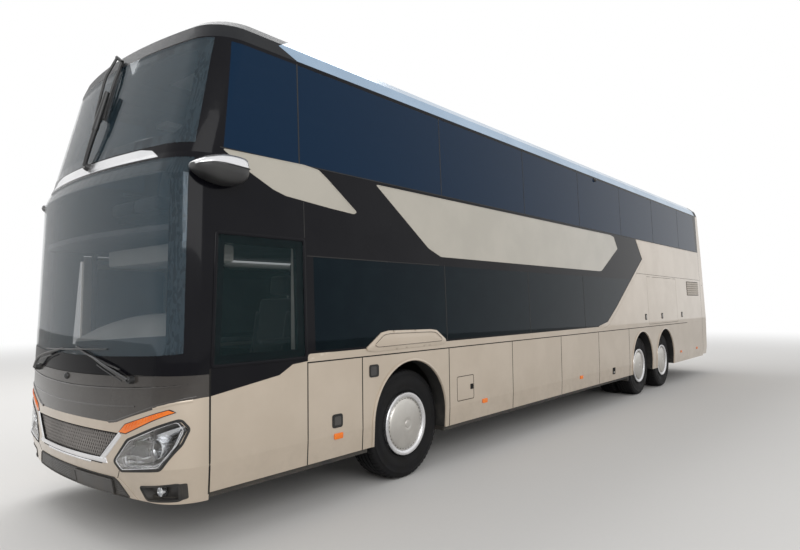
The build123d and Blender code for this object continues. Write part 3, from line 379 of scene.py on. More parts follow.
def endDepth(y, half, radius, corner):
    # how far the rounded end falls back from its middle at this y
    y = min(abs(y), half - 0.001)
    centreY = half - corner
    joint = centreY * radius / (radius - corner)
    if y <= joint:
        return radius - math.sqrt(radius ** 2 - y ** 2)
    centreX = radius - math.sqrt((radius - corner) ** 2 - centreY ** 2)
    return centreX - math.sqrt(max(corner ** 2 - (y - centreY) ** 2, 0))


def onLeft(x, z):
    return Vector((x, bodyShape["halfWidth"] - levelAt(z)[0], z))


def onRight(x, z):
    return Vector((x, levelAt(z)[0] - bodyShape["halfWidth"], z))


def onFront(y, z):
    side, front, rear = levelAt(z)
    depth = endDepth(y, bodyShape["halfWidth"] - side, bodyShape["frontRadius"], bodyShape["frontCorner"])
    return Vector((bodyShape["halfLength"] - front - depth, y, z))


def onRear(y, z):
    side, front, rear = levelAt(z)
    depth = endDepth(y, bodyShape["halfWidth"] - side, bodyShape["rearRadius"], bodyShape["rearCorner"])
    return Vector((-bodyShape["halfLength"] + rear + depth, y, z))


def onRoof(x, y):
    return Vector((x, y, bodyShape["top"]))


outwardOf = {
    onLeft: Vector((0, 1, 0)), onRight: Vector((0, -1, 0)), onFront: Vector((1, 0, 0)),
    onRear: Vector((-1, 0, 0)), onRoof: Vector((0, 0, 1)),
}


def facing(place, u, v):
    # outward direction of the surface at u, v
    step = 0.002
    along = place(u + step, v) - place(u - step, v)
    upward = place(u, v + step) - place(u, v - step)
    normal = along.cross(upward).normalized()
    return -normal if normal.dot(outwardOf[place]) < 0 else normal


# Mesh helpers
def makePiece(name, bm, looks, body="body", replaced=(), sharp=40):
    # a visible piece from a finished mesh; it rides a body and stands for the replaced solids
    bmesh.ops.remove_doubles(bm, verts=bm.verts, dist=0.00002)
    bmesh.ops.recalc_face_normals(bm, faces=bm.faces)
    limit = math.radians(sharp)
    for edge in bm.edges:
        edge.smooth = len(edge.link_faces) == 2 and edge.calc_face_angle(0) < limit
    for face in bm.faces:
        face.smooth = True
    mesh = bpy.data.meshes.new(name)
    bm.to_mesh(mesh)
    bm.free()
    for look in looks:
        mesh.materials.append(surfaces[look])
    piece = bpy.data.objects.new(name, mesh)
    scene.collection.objects.link(piece)
    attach(piece, body)
    if replaced:
        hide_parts(*replaced)
    return piece


def roundedOutline(points, radius, steps=4):
    # rounds each corner of a closed outline
    out = []
    count = len(points)
    for index in range(count):
        corner = Vector(points[index])
        before = Vector(points[index - 1]) - corner
        after = Vector(points[(index + 1) % count]) - corner
        reach = min(radius, before.length * 0.45, after.length * 0.45)
        start = corner + before.normalized() * reach
        end = corner + after.normalized() * reach
        for step in range(steps + 1):
            t = step / steps
            point = start * (1 - t) ** 2 + corner * 2 * t * (1 - t) + end * t ** 2
            out.append((point.x, point.y))
    return out


def rectangle(left, right, bottom, top, radius):
    return roundedOutline([(left, bottom), (right, bottom), (right, top), (left, top)], radius)


def denser(points, spacing, closed=True):
    # more points along the same line, no further apart than the spacing
    out = []
    count = len(points)
    for index in range(count if closed else count - 1):
        a = Vector(points[index])
        b = Vector(points[(index + 1) % count])
        parts = max(1, math.ceil((b - a).length / spacing))
        for part in range(parts):
            point = a + (b - a) * part / parts
            out.append(tuple(point))
    if not closed:
        out.append(tuple(points[-1]))
    return out


def inside(point, outline):
    x, y = point
    hit = False
    for (ax, ay), (bx, by) in zip(outline, outline[1:] + outline[:1]):
        if (ay > y) != (by > y) and x < (bx - ax) * (y - ay) / (by - ay) + ax:
            hit = not hit
    return hit


def extent(points):
    # lowest and highest u, lowest and highest v
    across, upward = zip(*points)
    return min(across), max(across), min(upward), max(upward)


def flatMesh(outline, spacing):
    # triangles of even size that fill an outline
    points = [Vector(point) for point in outline]
    edges = [(index, (index + 1) % len(outline)) for index in range(len(outline))]
    border = list(points)
    lowU, highU, lowV, highV = extent(outline)
    columns = int((highU - lowU) / spacing)
    rows = int((highV - lowV) / spacing)
    for column in range(1, columns + 1):
        for row in range(1, rows + 1):
            spot = Vector((lowU + column * (highU - lowU) / (columns + 1),
                           lowV + row * (highV - lowV) / (rows + 1)))
            near = min((spot - point).length for point in border)
            if near > spacing * 0.4 and inside(spot, outline):
                points.append(spot)
    vertices, unused, faces = delaunay_2d_cdt(points, edges, [], 0, 0.00001)[:3]
    middles = [sum((vertices[corner] for corner in face), Vector((0, 0))) / len(face) for face in faces]
    return vertices, [face for face, middle in zip(faces, middles) if inside(middle, outline)]


def joinRings(bm, rings, index=0, loop=False, closed=True):
    # faces between neighbouring rings of corners; loop joins the last ring to the first,
    # closed goes round each ring
    size = len(rings[0])
    made = []
    for first, second in zip(rings, rings[1:] + rings[:1] if loop else rings[1:]):
        for number in range(size if closed else size - 1):
            other = (number + 1) % size
            face = bm.faces.new((first[number], first[other], second[other], second[number]))
            face.material_index = index
            made.append(face)
    return made


def capEnds(bm, rings, index=0):
    for ring in (rings[0], rings[-1]):
        bm.faces.new(ring).material_index = index


def addPlate(bm, outline, place, lift, thick, spacing, index=0, crown=0.0):
    # a plate lying on the surface: its outside stands lift proud, it is thick deep
    # and its middle rises by the crown
    crownReach = 0.04  # distance from the edge over which the crown rises
    outline = denser(outline, spacing)
    vertices, faces = flatMesh(outline, spacing)
    border = [Vector(spot) for spot in outline]
    top = []
    under = []
    for vertex in vertices:
        point = place(vertex.x, vertex.y)
        normal = facing(place, vertex.x, vertex.y)
        rise = lift
        if crown:
            edge = min((vertex - spot).length for spot in border)
            rise += crown * min(1, edge / crownReach) ** 0.5
        top.append(bm.verts.new(point + normal * rise))
        under.append(bm.verts.new(point + normal * (lift - thick)))
    used = set()
    for face in faces:
        bm.faces.new([top[corner] for corner in face]).material_index = index
        bm.faces.new([under[corner] for corner in reversed(face)]).material_index = index
        used.update(zip(face, face[1:] + face[:1]))
    for a, b in sorted(used):
        if (b, a) not in used:
            bm.faces.new((top[b], top[a], under[a], under[b])).material_index = index


roundSection = ((-0.5, -1.0), (-0.5, 0.55), (-0.3, 1.0), (0.3, 1.0), (0.5, 0.55), (0.5, -1.0))


def addBead(bm, path, place, width, height, lift=0.0, closed=False, spacing=0.06, index=0,
            section=roundSection):
    # a strip of even section that follows a line on the surface; the section is in shares of width and height
    path = denser(path, spacing, closed)
    rings = []
    count = len(path)
    for number, (u, v) in enumerate(path):
        before = path[number - 1] if closed or number else path[0]
        after = path[(number + 1) % count] if closed or number < count - 1 else path[-1]
        along = place(*after) - place(*before)
        normal = facing(place, u, v)
        across = normal.cross(along).normalized()
        origin = place(u, v) + normal * lift
        rings.append([bm.verts.new(origin + across * width * a + normal * height * b) for a, b in section])
    joinRings(bm, rings, index, closed)
    if not closed:
        capEnds(bm, rings, index)


def addBox(bm, low, high, radius=0.004, index=0, segments=2):
    low, high = Vector(low), Vector(high)
    made = bmesh.ops.create_cube(bm, size=1)["verts"]
    for vertex in made:
        vertex.co = (low + high) / 2 + Vector(a * b for a, b in zip(vertex.co, high - low))
    for face in {face for vertex in made for face in vertex.link_faces}:
        face.material_index = index
    if radius:
        edges = list({edge for vertex in made for edge in vertex.link_edges})
        bmesh.ops.bevel(bm, geom=edges, offset=radius, segments=segments, profile=0.6, affect="EDGES",
                        material=index)


def addLathe(bm, profile, centre, axis="y", segments=64, index=0):
    # a turned part from its closed profile: distance along the axis, radius
    rings = []
    for number in range(segments):
        angle = 2 * math.pi * number / segments
        ring = []
        for along, radius in profile:
            a, b = radius * math.cos(angle), radius * math.sin(angle)
            offset = (along, a, b) if axis == "x" else (a, along, b)
            ring.append(bm.verts.new(Vector(centre) + Vector(offset)))
        rings.append(ring)
    joinRings(bm, rings, index, True)


def addTube(bm, points, radius, sides=10, index=0, ends=True):
    # a round bar through the points, with one radius or one for each point
    rings = []
    side = None
    for number, point in enumerate(points):
        before = points[max(number - 1, 0)]
        after = points[min(number + 1, len(points) - 1)]
        along = (after - before).normalized()
        if side is None:
            side = along.orthogonal().normalized()
        side = (side - along * side.dot(along)).normalized()
        other = along.cross(side)
        size = radius[number] if isinstance(radius, list) else radius
        rings.append([bm.verts.new(point + (side * math.cos(turn) + other * math.sin(turn)) * size)
                      for turn in (2 * math.pi * part / sides for part in range(sides))])
    joinRings(bm, rings, index)
    if ends:
        capEnds(bm, rings, index)


def smoothLine(points, steps=6):
    # a soft curve through the points
    points = [Vector(point) for point in points]
    out = []
    for number in range(len(points) - 1):
        a = points[max(number - 1, 0)]
        b, c = points[number], points[number + 1]
        d = points[min(number + 2, len(points) - 1)]
        for step in range(steps):
            t = step / steps
            out.append(0.5 * ((2 * b) + (c - a) * t + (2 * a - 5 * b + 4 * c - d) * t ** 2
                              + (3 * b - a - 3 * c + d) * t ** 3))
    out.append(points[-1])
    return out


def flip(points, hand):
    # the outline on the vehicle's left (1) or, mirrored, on its right (-1)
    return [(hand * y, z) for y, z in points]


hands = (("left", 1), ("right", -1))


# What the solids wear
wornBy = {
    "champagnePaint": ("left_side", "right_side", "rear_wall", "engine_lid", "bumper", "left_luggage_door",
                       "right_luggage_door", "front_door", "middle_door"),
    "sidePaint": ("side_trim",),
    "blackGloss": ("left_window_frame", "right_window_frame", "front_frame"),
    "frontBlack": ("front_panel",),
    "roofBlack": ("roof",),
    "trimSilver": ("bright_trim",),
    "privacyGlass": ("window_glass", "rear_window", "front_door_glass", "middle_door_glass"),
    "cabGlass": ("cab_windows",),
    "screenGlass": ("windscreens",),
    "chassisSteel": ("underframe", "luggage_floor", "wheel_housings", "axles", "front_left_knuckle",
                     "front_right_knuckle", "front_door_arm", "middle_door_arm"),
    "engineCasting": ("engine",),
    "deckVinyl": ("upper_floor", "stairs"),
    "cabPlastic": ("dashboard",),
    "cabDark": ("steering_wheel",),
    "driverCloth": ("driver_seat",),
    "seatCloth": ("passenger_seats",),
    "satinSilver": ("camera_wings",),
    "wiperBlack": ("wipers",),
    "grillePlastic": ("grille",),
    "clearLens": ("front_lamps",),
    "redLens": ("rear_lamps",),
}
lookOf = {name: look for look, names in wornBy.items() for name in names}
for name, node in nodes.items():
    look = lookOf.get(name) or ("tyreRubber" if name.endswith("_tyre") else "wheelSilver")
    node.data.materials.clear()
    node.data.materials.append(surfaces[look])
print("solids dressed")


# Floor, lights and background
studio = {
    "floor": (0.70, 0.69, 0.675),
    "floorReach": 90,
    "fade": (9.0, 30.0),  # metres from the middle, where the floor turns into the white background
    "world": 0.70,
    "lamps": (  # place, aim, width, height, watts
        ((1.0, -8.0, 13.0), (0, 0, 1.0), 18, 9, 1500),
        ((10.0, 12.0, 7.0), (1.5, 0, 2.0), 12, 6, 650),
    ),
}


def floorSurface():
    finish = Finish("paleFloor")
    tree = finish.tree
    place = finish.place()
    grain = finish.noise(place, 30, 5)
    broad = finish.noise(place, 0.4, 3)
    colour = studio["floor"]
    darker = tuple(part * 0.94 for part in colour)
    material = finish.surface({
        "Base Color": finish.mix(0.5 * grain + 0.5 * broad, colour, darker),
        "Roughness": 0.8 + 0.1 * grain,
        "Specular IOR Level": 0.2,
        "Normal": finish.bump(grain, 0.1, 0.002),
    })
    # for the camera the floor turns white far out
    output = next(node for node in tree.nodes if node.type == "OUTPUT_MATERIAL")
    plain = Link(tree, output.inputs["Surface"].links[0].from_socket)
    far = finish.node("ShaderNodeVectorMath", {"operation": "LENGTH"}, {0: place}, "Value")
    seen = finish.node("ShaderNodeLightPath", output="Is Camera Ray")
    white = finish.node("ShaderNodeEmission")
    blend = finish.node("ShaderNodeMixShader", None,
                        {0: finish.ramp(far, *studio["fade"]) * seen, 1: plain, 2: white})
    tree.links.new(blend.socket, output.inputs["Surface"])
    return material


def makeFloor():
    bm = bmesh.new()
    bmesh.ops.create_grid(bm, x_segments=4, y_segments=4, size=studio["floorReach"])
    mesh = bpy.data.meshes.new("floor")
    bm.to_mesh(mesh)
    bm.free()
    mesh.materials.append(floorSurface())
    floor = bpy.data.objects.new("floor", mesh)
    scene.collection.objects.link(floor)


def makeLamps():
    for number, (place, aim, width, height, watts) in enumerate(studio["lamps"]):
        data = bpy.data.lights.new(f"softbox{number}", "AREA")
        data.shape = "RECTANGLE"
        data.size, data.size_y = width, height
        data.energy = watts
        lamp = bpy.data.objects.new(f"softbox{number}", data)
        lamp.location = place
        lamp.rotation_euler = (Vector(aim) - Vector(place)).to_track_quat("-Z", "Y").to_euler()
        scene.collection.objects.link(lamp)


def makeWorld():
    # a plain grey light that the camera, mirrors and glass see as white
    world = bpy.data.worlds.new("studio")
    world.use_nodes = True
    tree = world.node_tree
    tree.nodes.clear()
    path = tree.nodes.new("ShaderNodeLightPath")
    camera, glossy, through = (Link(tree, path.outputs[key])
                               for key in ("Is Camera Ray", "Is Glossy Ray", "Is Transmission Ray"))
    rays = camera + glossy + through
    seen = rays.maths("MINIMUM", rays, 1)
    light = tree.nodes.new("ShaderNodeBackground")
    light.inputs["Color"].default_value = (1, 1, 1, 1)
    strength = studio["world"] + (1 - studio["world"]) * seen
    tree.links.new(strength.socket, light.inputs["Strength"])
    output = tree.nodes.new("ShaderNodeOutputWorld")
    tree.links.new(light.outputs[0], output.inputs["Surface"])
    scene.world = world


makeFloor()
makeLamps()
makeWorld()
print("studio set")


# Tyres: tread, shoulders and plain sidewall rings
tyreSize = {
    "radius": 0.522,
    "grooves": (-0.072, -0.025, 0.025, 0.072),
    "grooveHalf": 0.0055,
    "grooveDepth": 0.012,
    "treadCurve": 0.10,  # how much the tread falls off towards the shoulders
    "lugs": 60,
    "notch": 0.010,
    # sidewall from bead to shoulder: distance from the tyre's middle, radius, share of the notch cut there
    "sidewall": ((0.105, 0.2895, 0), (0.118, 0.300, 0), (0.128, 0.312, 0), (0.131, 0.322, 0),
                 (0.1345, 0.324, 0), (0.1370, 0.332, 0), (0.1350, 0.338, 0), (0.1405, 0.352, 0),
                 (0.1460, 0.385, 0), (0.1470, 0.398, 0), (0.1475, 0.402, 0), (0.1468, 0.407, 0),
                 (0.1462, 0.430, 0), (0.1435, 0.458, 0), (0.1448, 0.461, 0), (0.1440, 0.466, 0),
                 (0.1415, 0.468, 0), (0.1360, 0.488, 0), (0.1335, 0.500, 0.5), (0.128, 0.511, 1),
                 (0.116, 0.518, 1)),
}
wheelPlaces = {"front": 4.35, "drive": -2.35, "tag": -3.70}
wheelMiddle = 1.042
twinSpacing = 0.330


def tyreProfile():
    side = list(tyreSize["sidewall"])
    tread = []
    half = tyreSize["grooveHalf"]
    for groove in tyreSize["grooves"]:
        crown = tyreSize["radius"] - tyreSize["treadCurve"] * groove ** 2
        floor = crown - tyreSize["grooveDepth"]
        cut = 0.6 if abs(groove) > 0.05 else 0
        tread += [(groove - half - 0.001, crown, cut), (groove - half, floor, 0), (groove + half, floor, 0),
                  (groove + half + 0.001, crown, cut)]
    return [(-along, size, cut) for along, size, cut in side] + tread + side[::-1]


def addTyre(bm, x, middle):
    segments = tyreSize["lugs"] * 4
    rings = []
    for number in range(segments):
        angle = 2 * math.pi * number / segments
        notch = tyreSize["notch"] if number % 4 == 0 else 0
        ring = []
        for along, radius, cut in tyreProfile():
            size = radius - notch * cut
            ring.append(bm.verts.new((x + size * math.cos(angle), middle + along,
                                      tyreSize["radius"] + size * math.sin(angle))))
        rings.append(ring)
    joinRings(bm, rings, 0, True)


# Wheels: polished outer ring, slotted groove and a wide plain disc; profiles as distance outwards, radius
wheelShape = {
    "ring": ((0.128, 0.2875), (0.140, 0.300), (0.149, 0.3015), (0.156, 0.296), (0.1575, 0.284),
             (0.154, 0.268), (0.148, 0.258), (0.143, 0.2545), (0.120, 0.2545), (0.118, 0.280),
             (0.100, 0.2870)),
    "disc": ((0.120, 0.253), (0.140, 0.252), (0.1425, 0.2485), (0.1395, 0.2445), (0.1395, 0.2395),
             (0.1445, 0.2345), (0.150, 0.226), (0.155, 0.205), (0.161, 0.165), (0.166, 0.12), (0.169, 0.075),
             (0.1705, 0.048), (0.1690, 0.044), (0.1690, 0.038), (0.1740, 0.034), (0.1755, 0.020),
             (0.1760, 0.0008), (0.130, 0.0008)),
    "rim": ((0.100, 0.2875), (0.090, 0.272), (-0.128, 0.272), (-0.134, 0.284), (-0.140, 0.299),
            (-0.132, 0.2995), (-0.126, 0.2875)),
    "web": ((0.010, 0.271), (0.060, 0.262), (0.066, 0.23), (0.030, 0.20), (0.020, 0.062), (0.008, 0.062),
            (0.018, 0.20), (0.050, 0.235), (0.045, 0.255), (0.0, 0.260)),
    # rim of the second, inner wheel of a twin
    "twinRim": ((-0.456, 0.2875), (-0.462, 0.299), (-0.470, 0.299), (-0.464, 0.272), (-0.145, 0.272),
                (-0.145, 0.2875)),
    "slots": 36,
    "slotRadius": 0.2420,
    "slotSize": (0.0022, 0.1370, 0.1402, 0.011),  # half width, inner and outer end, half length
    "bolts": 10,
    "boltCircle": 0.1675,
    "bolt": (0.02, 0.075, 0.014),  # inner and outer end, radius
}


def addWheel(bm, x, middle, hand, twin):
    def turned(name, segments, index):
        profile = [(hand * along, radius) for along, radius in wheelShape[name]]
        addLathe(bm, profile, centre, "y", segments, index)

    centre = (x, middle, tyreSize["radius"])
    turned("ring", 96, 1)
    turned("disc", 96, 0)
    turned("rim", 72, 2)
    half, inner, outer, length = wheelShape["slotSize"]
    low, high = sorted((hand * inner, hand * outer))
    for number in range(wheelShape["slots"]):
        angle = 2 * math.pi * number / wheelShape["slots"]
        turn = Matrix.Translation(centre) @ Matrix.Rotation(-angle, 4, "Y")
        start = len(bm.verts)
        radius = wheelShape["slotRadius"]
        addBox(bm, (radius - half, low, -length), (radius + half, high, length), 0, 3)
        bm.verts.ensure_lookup_table()
        for vertex in bm.verts[start:]:
            vertex.co = turn @ vertex.co
    inner, outer, radius = wheelShape["bolt"]
    low, high = sorted((hand * inner, hand * outer))
    for number in range(wheelShape["bolts"]):
        angle = 2 * math.pi * number / wheelShape["bolts"]
        place = Vector(centre) + Vector((math.cos(angle), 0, math.sin(angle))) * wheelShape["boltCircle"]
        addLathe(bm, [(low, 0.0001), (low, radius), (high, radius), (high, 0.0001)], place, "y", 6, 2)
    turned("web", 64, 2)
    if twin:
        turned("twinRim", 72, 2)


for axle, x in wheelPlaces.items():
    twin = axle == "drive"
    for handName, hand in hands:
        name = f"{axle}_{handName}"
        bm = bmesh.new()
        addTyre(bm, x, hand * wheelMiddle)
        if twin:
            addTyre(bm, x, hand * (wheelMiddle - twinSpacing))
        makePiece(f"{name}_tyreDetail", bm, ["tyreRubber"], f"{name}_wheel", [f"{name}_tyre"])
        bm = bmesh.new()
        addWheel(bm, x, hand * wheelMiddle, hand, twin)
        makePiece(f"{name}_wheelDetail", bm, ["wheelSilver", "satinSilver", "chassisSteel", "seamShadow"],
                  f"{name}_wheel", [f"{name}_wheel"], 30)
print("wheels made")


# Side details: x forward and height, followed on the body's surface
sideShape = {
    "skirt": 0.412,
    "seamWidth": 0.011,
    "seamRise": 0.0008,
    "uprights": ((5.685, 1.228), (5.05, 1.222), (3.73, 1.222), (2.40, 1.222), (1.04, 1.222), (-0.30, 1.222),
                 (-1.65, 1.222)),
    "beltSeam": ((5.685, 1.222), (-5.30, 1.214)),
    "doors": ((5.40, 6.42), (-1.58, -0.58)),  # spans of the passenger doors, which no seam crosses
    "panelSeams": (([(-2.22, 2.20), (-6.56, 2.17)], 0.006), ([(-6.562, 0.50), (-6.562, 2.82)], 0.007),
                   ([(6.573, 0.40), (6.573, 1.25)], 0.014)),
    "lipWidth": 0.026,
    "lipSection": ((-0.5, -1), (-0.5, 0.3), (-0.2, 1), (0.35, 0.8), (0.5, 0.2), (0.5, -1)),
    "linerDepth": 0.16,
    "markers": ((5.35, 0.585), (3.05, 0.585), (0.39, 0.585), (-4.75, 0.62), (-6.0, 0.62)),
    "markerHalf": (0.05, 0.024),
    "louvre": (-6.37, -5.42, 1.81, 2.12),
    "louvreSlats": 6,
    "louvreSection": ((-0.5, -0.2), (-0.5, 1.0), (0.1, 0.6), (0.5, 0.05), (0.5, -0.2)),
    # x of the seams in each band of glass, the band's bottom and top
    "glassSeams": (((5.727, 3.755, 1.917, 0.187, -1.553, -3.293, -5.033), 2.83, 3.68),
                   ((3.755, 1.917, 0.187), 1.30, 2.09)),
    "leftGlassLines": (([(5.690, 2.232), (5.690, 2.530)], 0.008), ([(5.67, 2.086), (3.85, 2.086)], 0.007),
                       ([(6.47, 2.835), (-6.3, 2.835)], 0.008)),
    "driverWindow": [(5.70, 1.262), (6.558, 1.262), (6.508, 2.212), (5.70, 2.212)],
    "beltEnd": [(5.683, 1.236), (5.683, 1.266), (5.676, 1.284), (5.658, 1.2915), (5.430, 1.2915),
                (5.445, 1.286)],
    "swoosh": [(4.789, 2.800), (4.019, 2.257), (3.808, 2.180), (-0.470, 2.180), (-0.573, 2.191),
               (-1.324, 2.591), (-1.192, 2.778), (-1.045, 2.800)],
    "leaf": [(6.440, 2.825), (5.674, 2.835), (5.517, 2.819), (5.418, 2.758), (5.070, 2.512), (5.105, 2.494),
             (5.388, 2.514), (5.872, 2.558), (5.995, 2.592), (6.217, 2.696)],
    "quarter": [(-2.575, 2.475), (-2.275, 2.822), (-6.55, 2.822)],
    "quarterLeft": [(-0.320, 1.300), (-0.700, 1.359), (-1.110, 1.580)],  # the edge's lower end, cut by a door
    "quarterRight": [(-1.590, 1.873)],  # on the right
}
archShape = {"radius": 0.555, "height": 0.585}

# The raised shield over the left front wheel
shieldShape = {
    "outer": [(5.00, 1.300), (4.80, 1.425), (4.70, 1.440), (4.05, 1.428), (3.95, 1.415), (3.80, 1.318),
              (3.79, 1.285), (3.86, 1.268), (4.90, 1.258), (4.99, 1.272)],
    "inner": [(4.905, 1.318), (4.775, 1.402), (4.69, 1.413), (4.06, 1.402), (3.975, 1.392), (3.875, 1.328),
              (3.89, 1.303), (4.86, 1.297)],
}

# Caps and lamps on the sides: left, right, bottom, top, corner radius, lift, thickness, spacing, look, crown
lookNumber = {"shadow": 0, "rubber": 1, "grey": 2, "dark": 3}
sideCaps = {
    "left": ((3.283, 3.337, 0.745, 0.802, 0.008, 0.004, 0.006, 0.02, "shadow", 0),
             (5.300, 5.420, 0.655, 0.768, 0.026, 0.005, 0.006, 0.02, "rubber", 0),
             (5.322, 5.398, 0.676, 0.747, 0.014, 0.007, 0.006, 0.02, "dark", 0),
             (-0.955, -0.845, 0.505, 0.612, 0.012, 0.004, 0.006, 0.03, "shadow", 0),
             (-0.930, -0.875, 0.520, 0.552, 0.008, 0.006, 0.006, 0.03, "grey", 0)),
    "both": ((4.838, 4.962, 1.030, 1.142, 0.026, 0.006, 0.010, 0.02, "rubber", 0),
             (4.874, 4.948, 1.046, 1.126, 0.014, 0.009, 0.008, 0.02, "dark", 0.002)),
    "flap": (3.27, 3.59, 0.643, 0.900, 0.02),
}
fixedLocks = (-2.58, -4.92)
doorLock = -3.55


def archLine(x, grow=0.0, steps=40):
    radius = archShape["radius"] + grow
    line = [(x + radius, sideShape["skirt"])]
    for step in range(steps + 1):
        angle = math.pi * step / steps
        line.append((x + radius * math.cos(angle), archShape["height"] + radius * math.sin(angle)))
    line.append((x - radius, sideShape["skirt"]))
    return line


def inDoor(x):
    return any(rear < x < front for rear, front in sideShape["doors"])


def addLock(bm, x, place, plate, lever):
    addPlate(bm, rectangle(x - 0.045, x + 0.045, 1.345, 1.455, 0.012), place, 0.004, 0.006, 0.03, plate)
    addPlate(bm, rectangle(x - 0.018, x + 0.018, 1.365, 1.43, 0.008), place, 0.009, 0.006, 0.03, lever)


def makeSideSeams(name, place, right):
    bm = bmesh.new()
    for x, high in sideShape["uprights"]:
        if not (right and inDoor(x)):
            addBead(bm, [(x, sideShape["skirt"]), (x, high)], place, sideShape["seamWidth"],
                    sideShape["seamRise"])
    (startX, startZ), (endX, endZ) = sideShape["beltSeam"]
    frontDoor, middleDoor = sideShape["doors"]
    spans = ((frontDoor[0], middleDoor[1]), (middleDoor[0], endX)) if right else ((startX, endX),)
    for span in spans:
        line = [(x, startZ + (endZ - startZ) * (x - startX) / (endX - startX)) for x in span]
        addBead(bm, line, place, sideShape["seamWidth"], sideShape["seamRise"])
    for line, width in sideShape["panelSeams"]:
        addBead(bm, line, place, width, sideShape["seamRise"])
    makePiece(f"{name}SideSeams", bm, ["seamShadow"], sharp=35)


def makeArches(name, place, right):
    bm = bmesh.new()
    for x in wheelPlaces.values():
        addBead(bm, archLine(x, 0.006), place, sideShape["lipWidth"], 0.011, spacing=0.04,
                section=sideShape["lipSection"])
    makePiece(f"{name}ArchLips", bm, ["champagnePaint"], sharp=50)
    bm = bmesh.new()
    inward = Vector((0, 1 if right else -1, 0))
    for x in wheelPlaces.values():
        rings = [[bm.verts.new(place(*point) + inward * depth) for depth in (0.004, sideShape["linerDepth"])]
                 for point in archLine(x, -0.001, 28)]
        joinRings(bm, rings, closed=False)
    liners = makePiece(f"{name}ArchLiners", bm, ["windowRubber"], sharp=50)
    solid = liners.modifiers.new("thickness", "SOLIDIFY")
    solid.thickness = 0.006
    solid.offset = 0


def makeSideFittings(name, place, right):
    bm = bmesh.new()
    if not right:
        addBead(bm, rectangle(*sideCaps["flap"]), place, 0.006, 0.0008, 0, True, 0.03)
        addBead(bm, roundedOutline(shieldShape["inner"], 0.02), place, 0.004, 0.0012, 0.0215, True, 0.02)
    for x in fixedLocks:
        addLock(bm, x, place, lookNumber["rubber"], lookNumber["grey"])
    for cap in sideCaps["both"] + (() if right else sideCaps["left"]):
        *outline, lift, thick, spacing, look, crown = cap
        addPlate(bm, rectangle(*outline), place, lift, thick, spacing, lookNumber[look], crown)
    makePiece(f"{name}SideFittings", bm, ["seamShadow", "windowRubber", "lampHousing", "grillePlastic"])

    bm = bmesh.new()
    halfX, halfZ = sideShape["markerHalf"]
    for x, z in sideShape["markers"]:
        if not (right and inDoor(x)):
            outline = rectangle(x - halfX, x + halfX, z - halfZ, z + halfZ, 0.010)
            addPlate(bm, outline, place, 0.009, 0.010, 0.02, crown=0.004)
    makePiece(f"{name}SideMarkers", bm, ["orangeLens"])

    if not right:
        bm = bmesh.new()
        addPlate(bm, roundedOutline(shieldShape["outer"], 0.014), place, 0.0115, 0.010, 0.03, crown=0.006)
        addBead(bm, roundedOutline(shieldShape["inner"], 0.02), place, 0.012, 0.005, 0.0165, True, 0.02)
        makePiece(f"{name}ArchCrest", bm, ["champagnePaint"])

    bm = bmesh.new()
    rear, front, low, high = sideShape["louvre"]
    addPlate(bm, rectangle(rear, front, low, high, 0.01), place, 0.0012, 0.004, 0.1, 1)
    for number in range(sideShape["louvreSlats"]):
        z = low + 0.035 + (high - low - 0.07) * number / (sideShape["louvreSlats"] - 1)
        addBead(bm, [(rear + 0.02, z), (front - 0.02, z)], place, 0.040, 0.010, 0.001, spacing=0.2,
                section=sideShape["louvreSection"])
    makePiece(f"{name}Louvre", bm, ["champagnePaint", "seamShadow"])


def makeGlassLines(name, place, right):
    # rubber and edge lines in the glass bands
    bm = bmesh.new()
    for places, low, high in sideShape["glassSeams"]:
        for x in places:
            addBead(bm, [(x, low), (x, high)], place, 0.012, 0.0015)
    if not right:
        for line, width in sideShape["leftGlassLines"]:
            addBead(bm, line, place, width, 0.001)
    makePiece(f"{name}GlassSeams", bm, ["windowRubber"], sharp=35)
    if not right:
        bm = bmesh.new()
        addBead(bm, roundedOutline(sideShape["driverWindow"], 0.02), place, 0.026, 0.006, 0, True, 0.05)
        makePiece("driverWindowSurround", bm, ["blackGloss"])
        bm = bmesh.new()
        addPlate(bm, sideShape["beltEnd"], place, 0.0004, 0.010, 0.03)
        makePiece("driverBeltEnd", bm, ["champagnePaint"])


def makeTrimEdges(name, place, right):
    bm = bmesh.new()
    for outline in (sideShape["swoosh"], sideShape["leaf"]):
        addBead(bm, roundedOutline(outline, 0.015), place, 0.009, 0.0018, 0, True, 0.08)
    makePiece(f"{name}TrimEdges", bm, ["upperPaintAndPaintedShade"])
    bm = bmesh.new()
    lowEnd = sideShape["quarterRight"] if right else sideShape["quarterLeft"]
    addBead(bm, lowEnd + sideShape["quarter"], place, 0.010, 0.004, spacing=0.08)
    makePiece(f"{name}QuarterEdge", bm, ["champagnePaint"])


for name, place, right in (("left", onLeft, False), ("right", onRight, True)):
    makeSideSeams(name, place, right)
    makeArches(name, place, right)
    makeSideFittings(name, place, right)
    makeGlassLines(name, place, right)
    makeTrimEdges(name, place, right)
print("sides made")


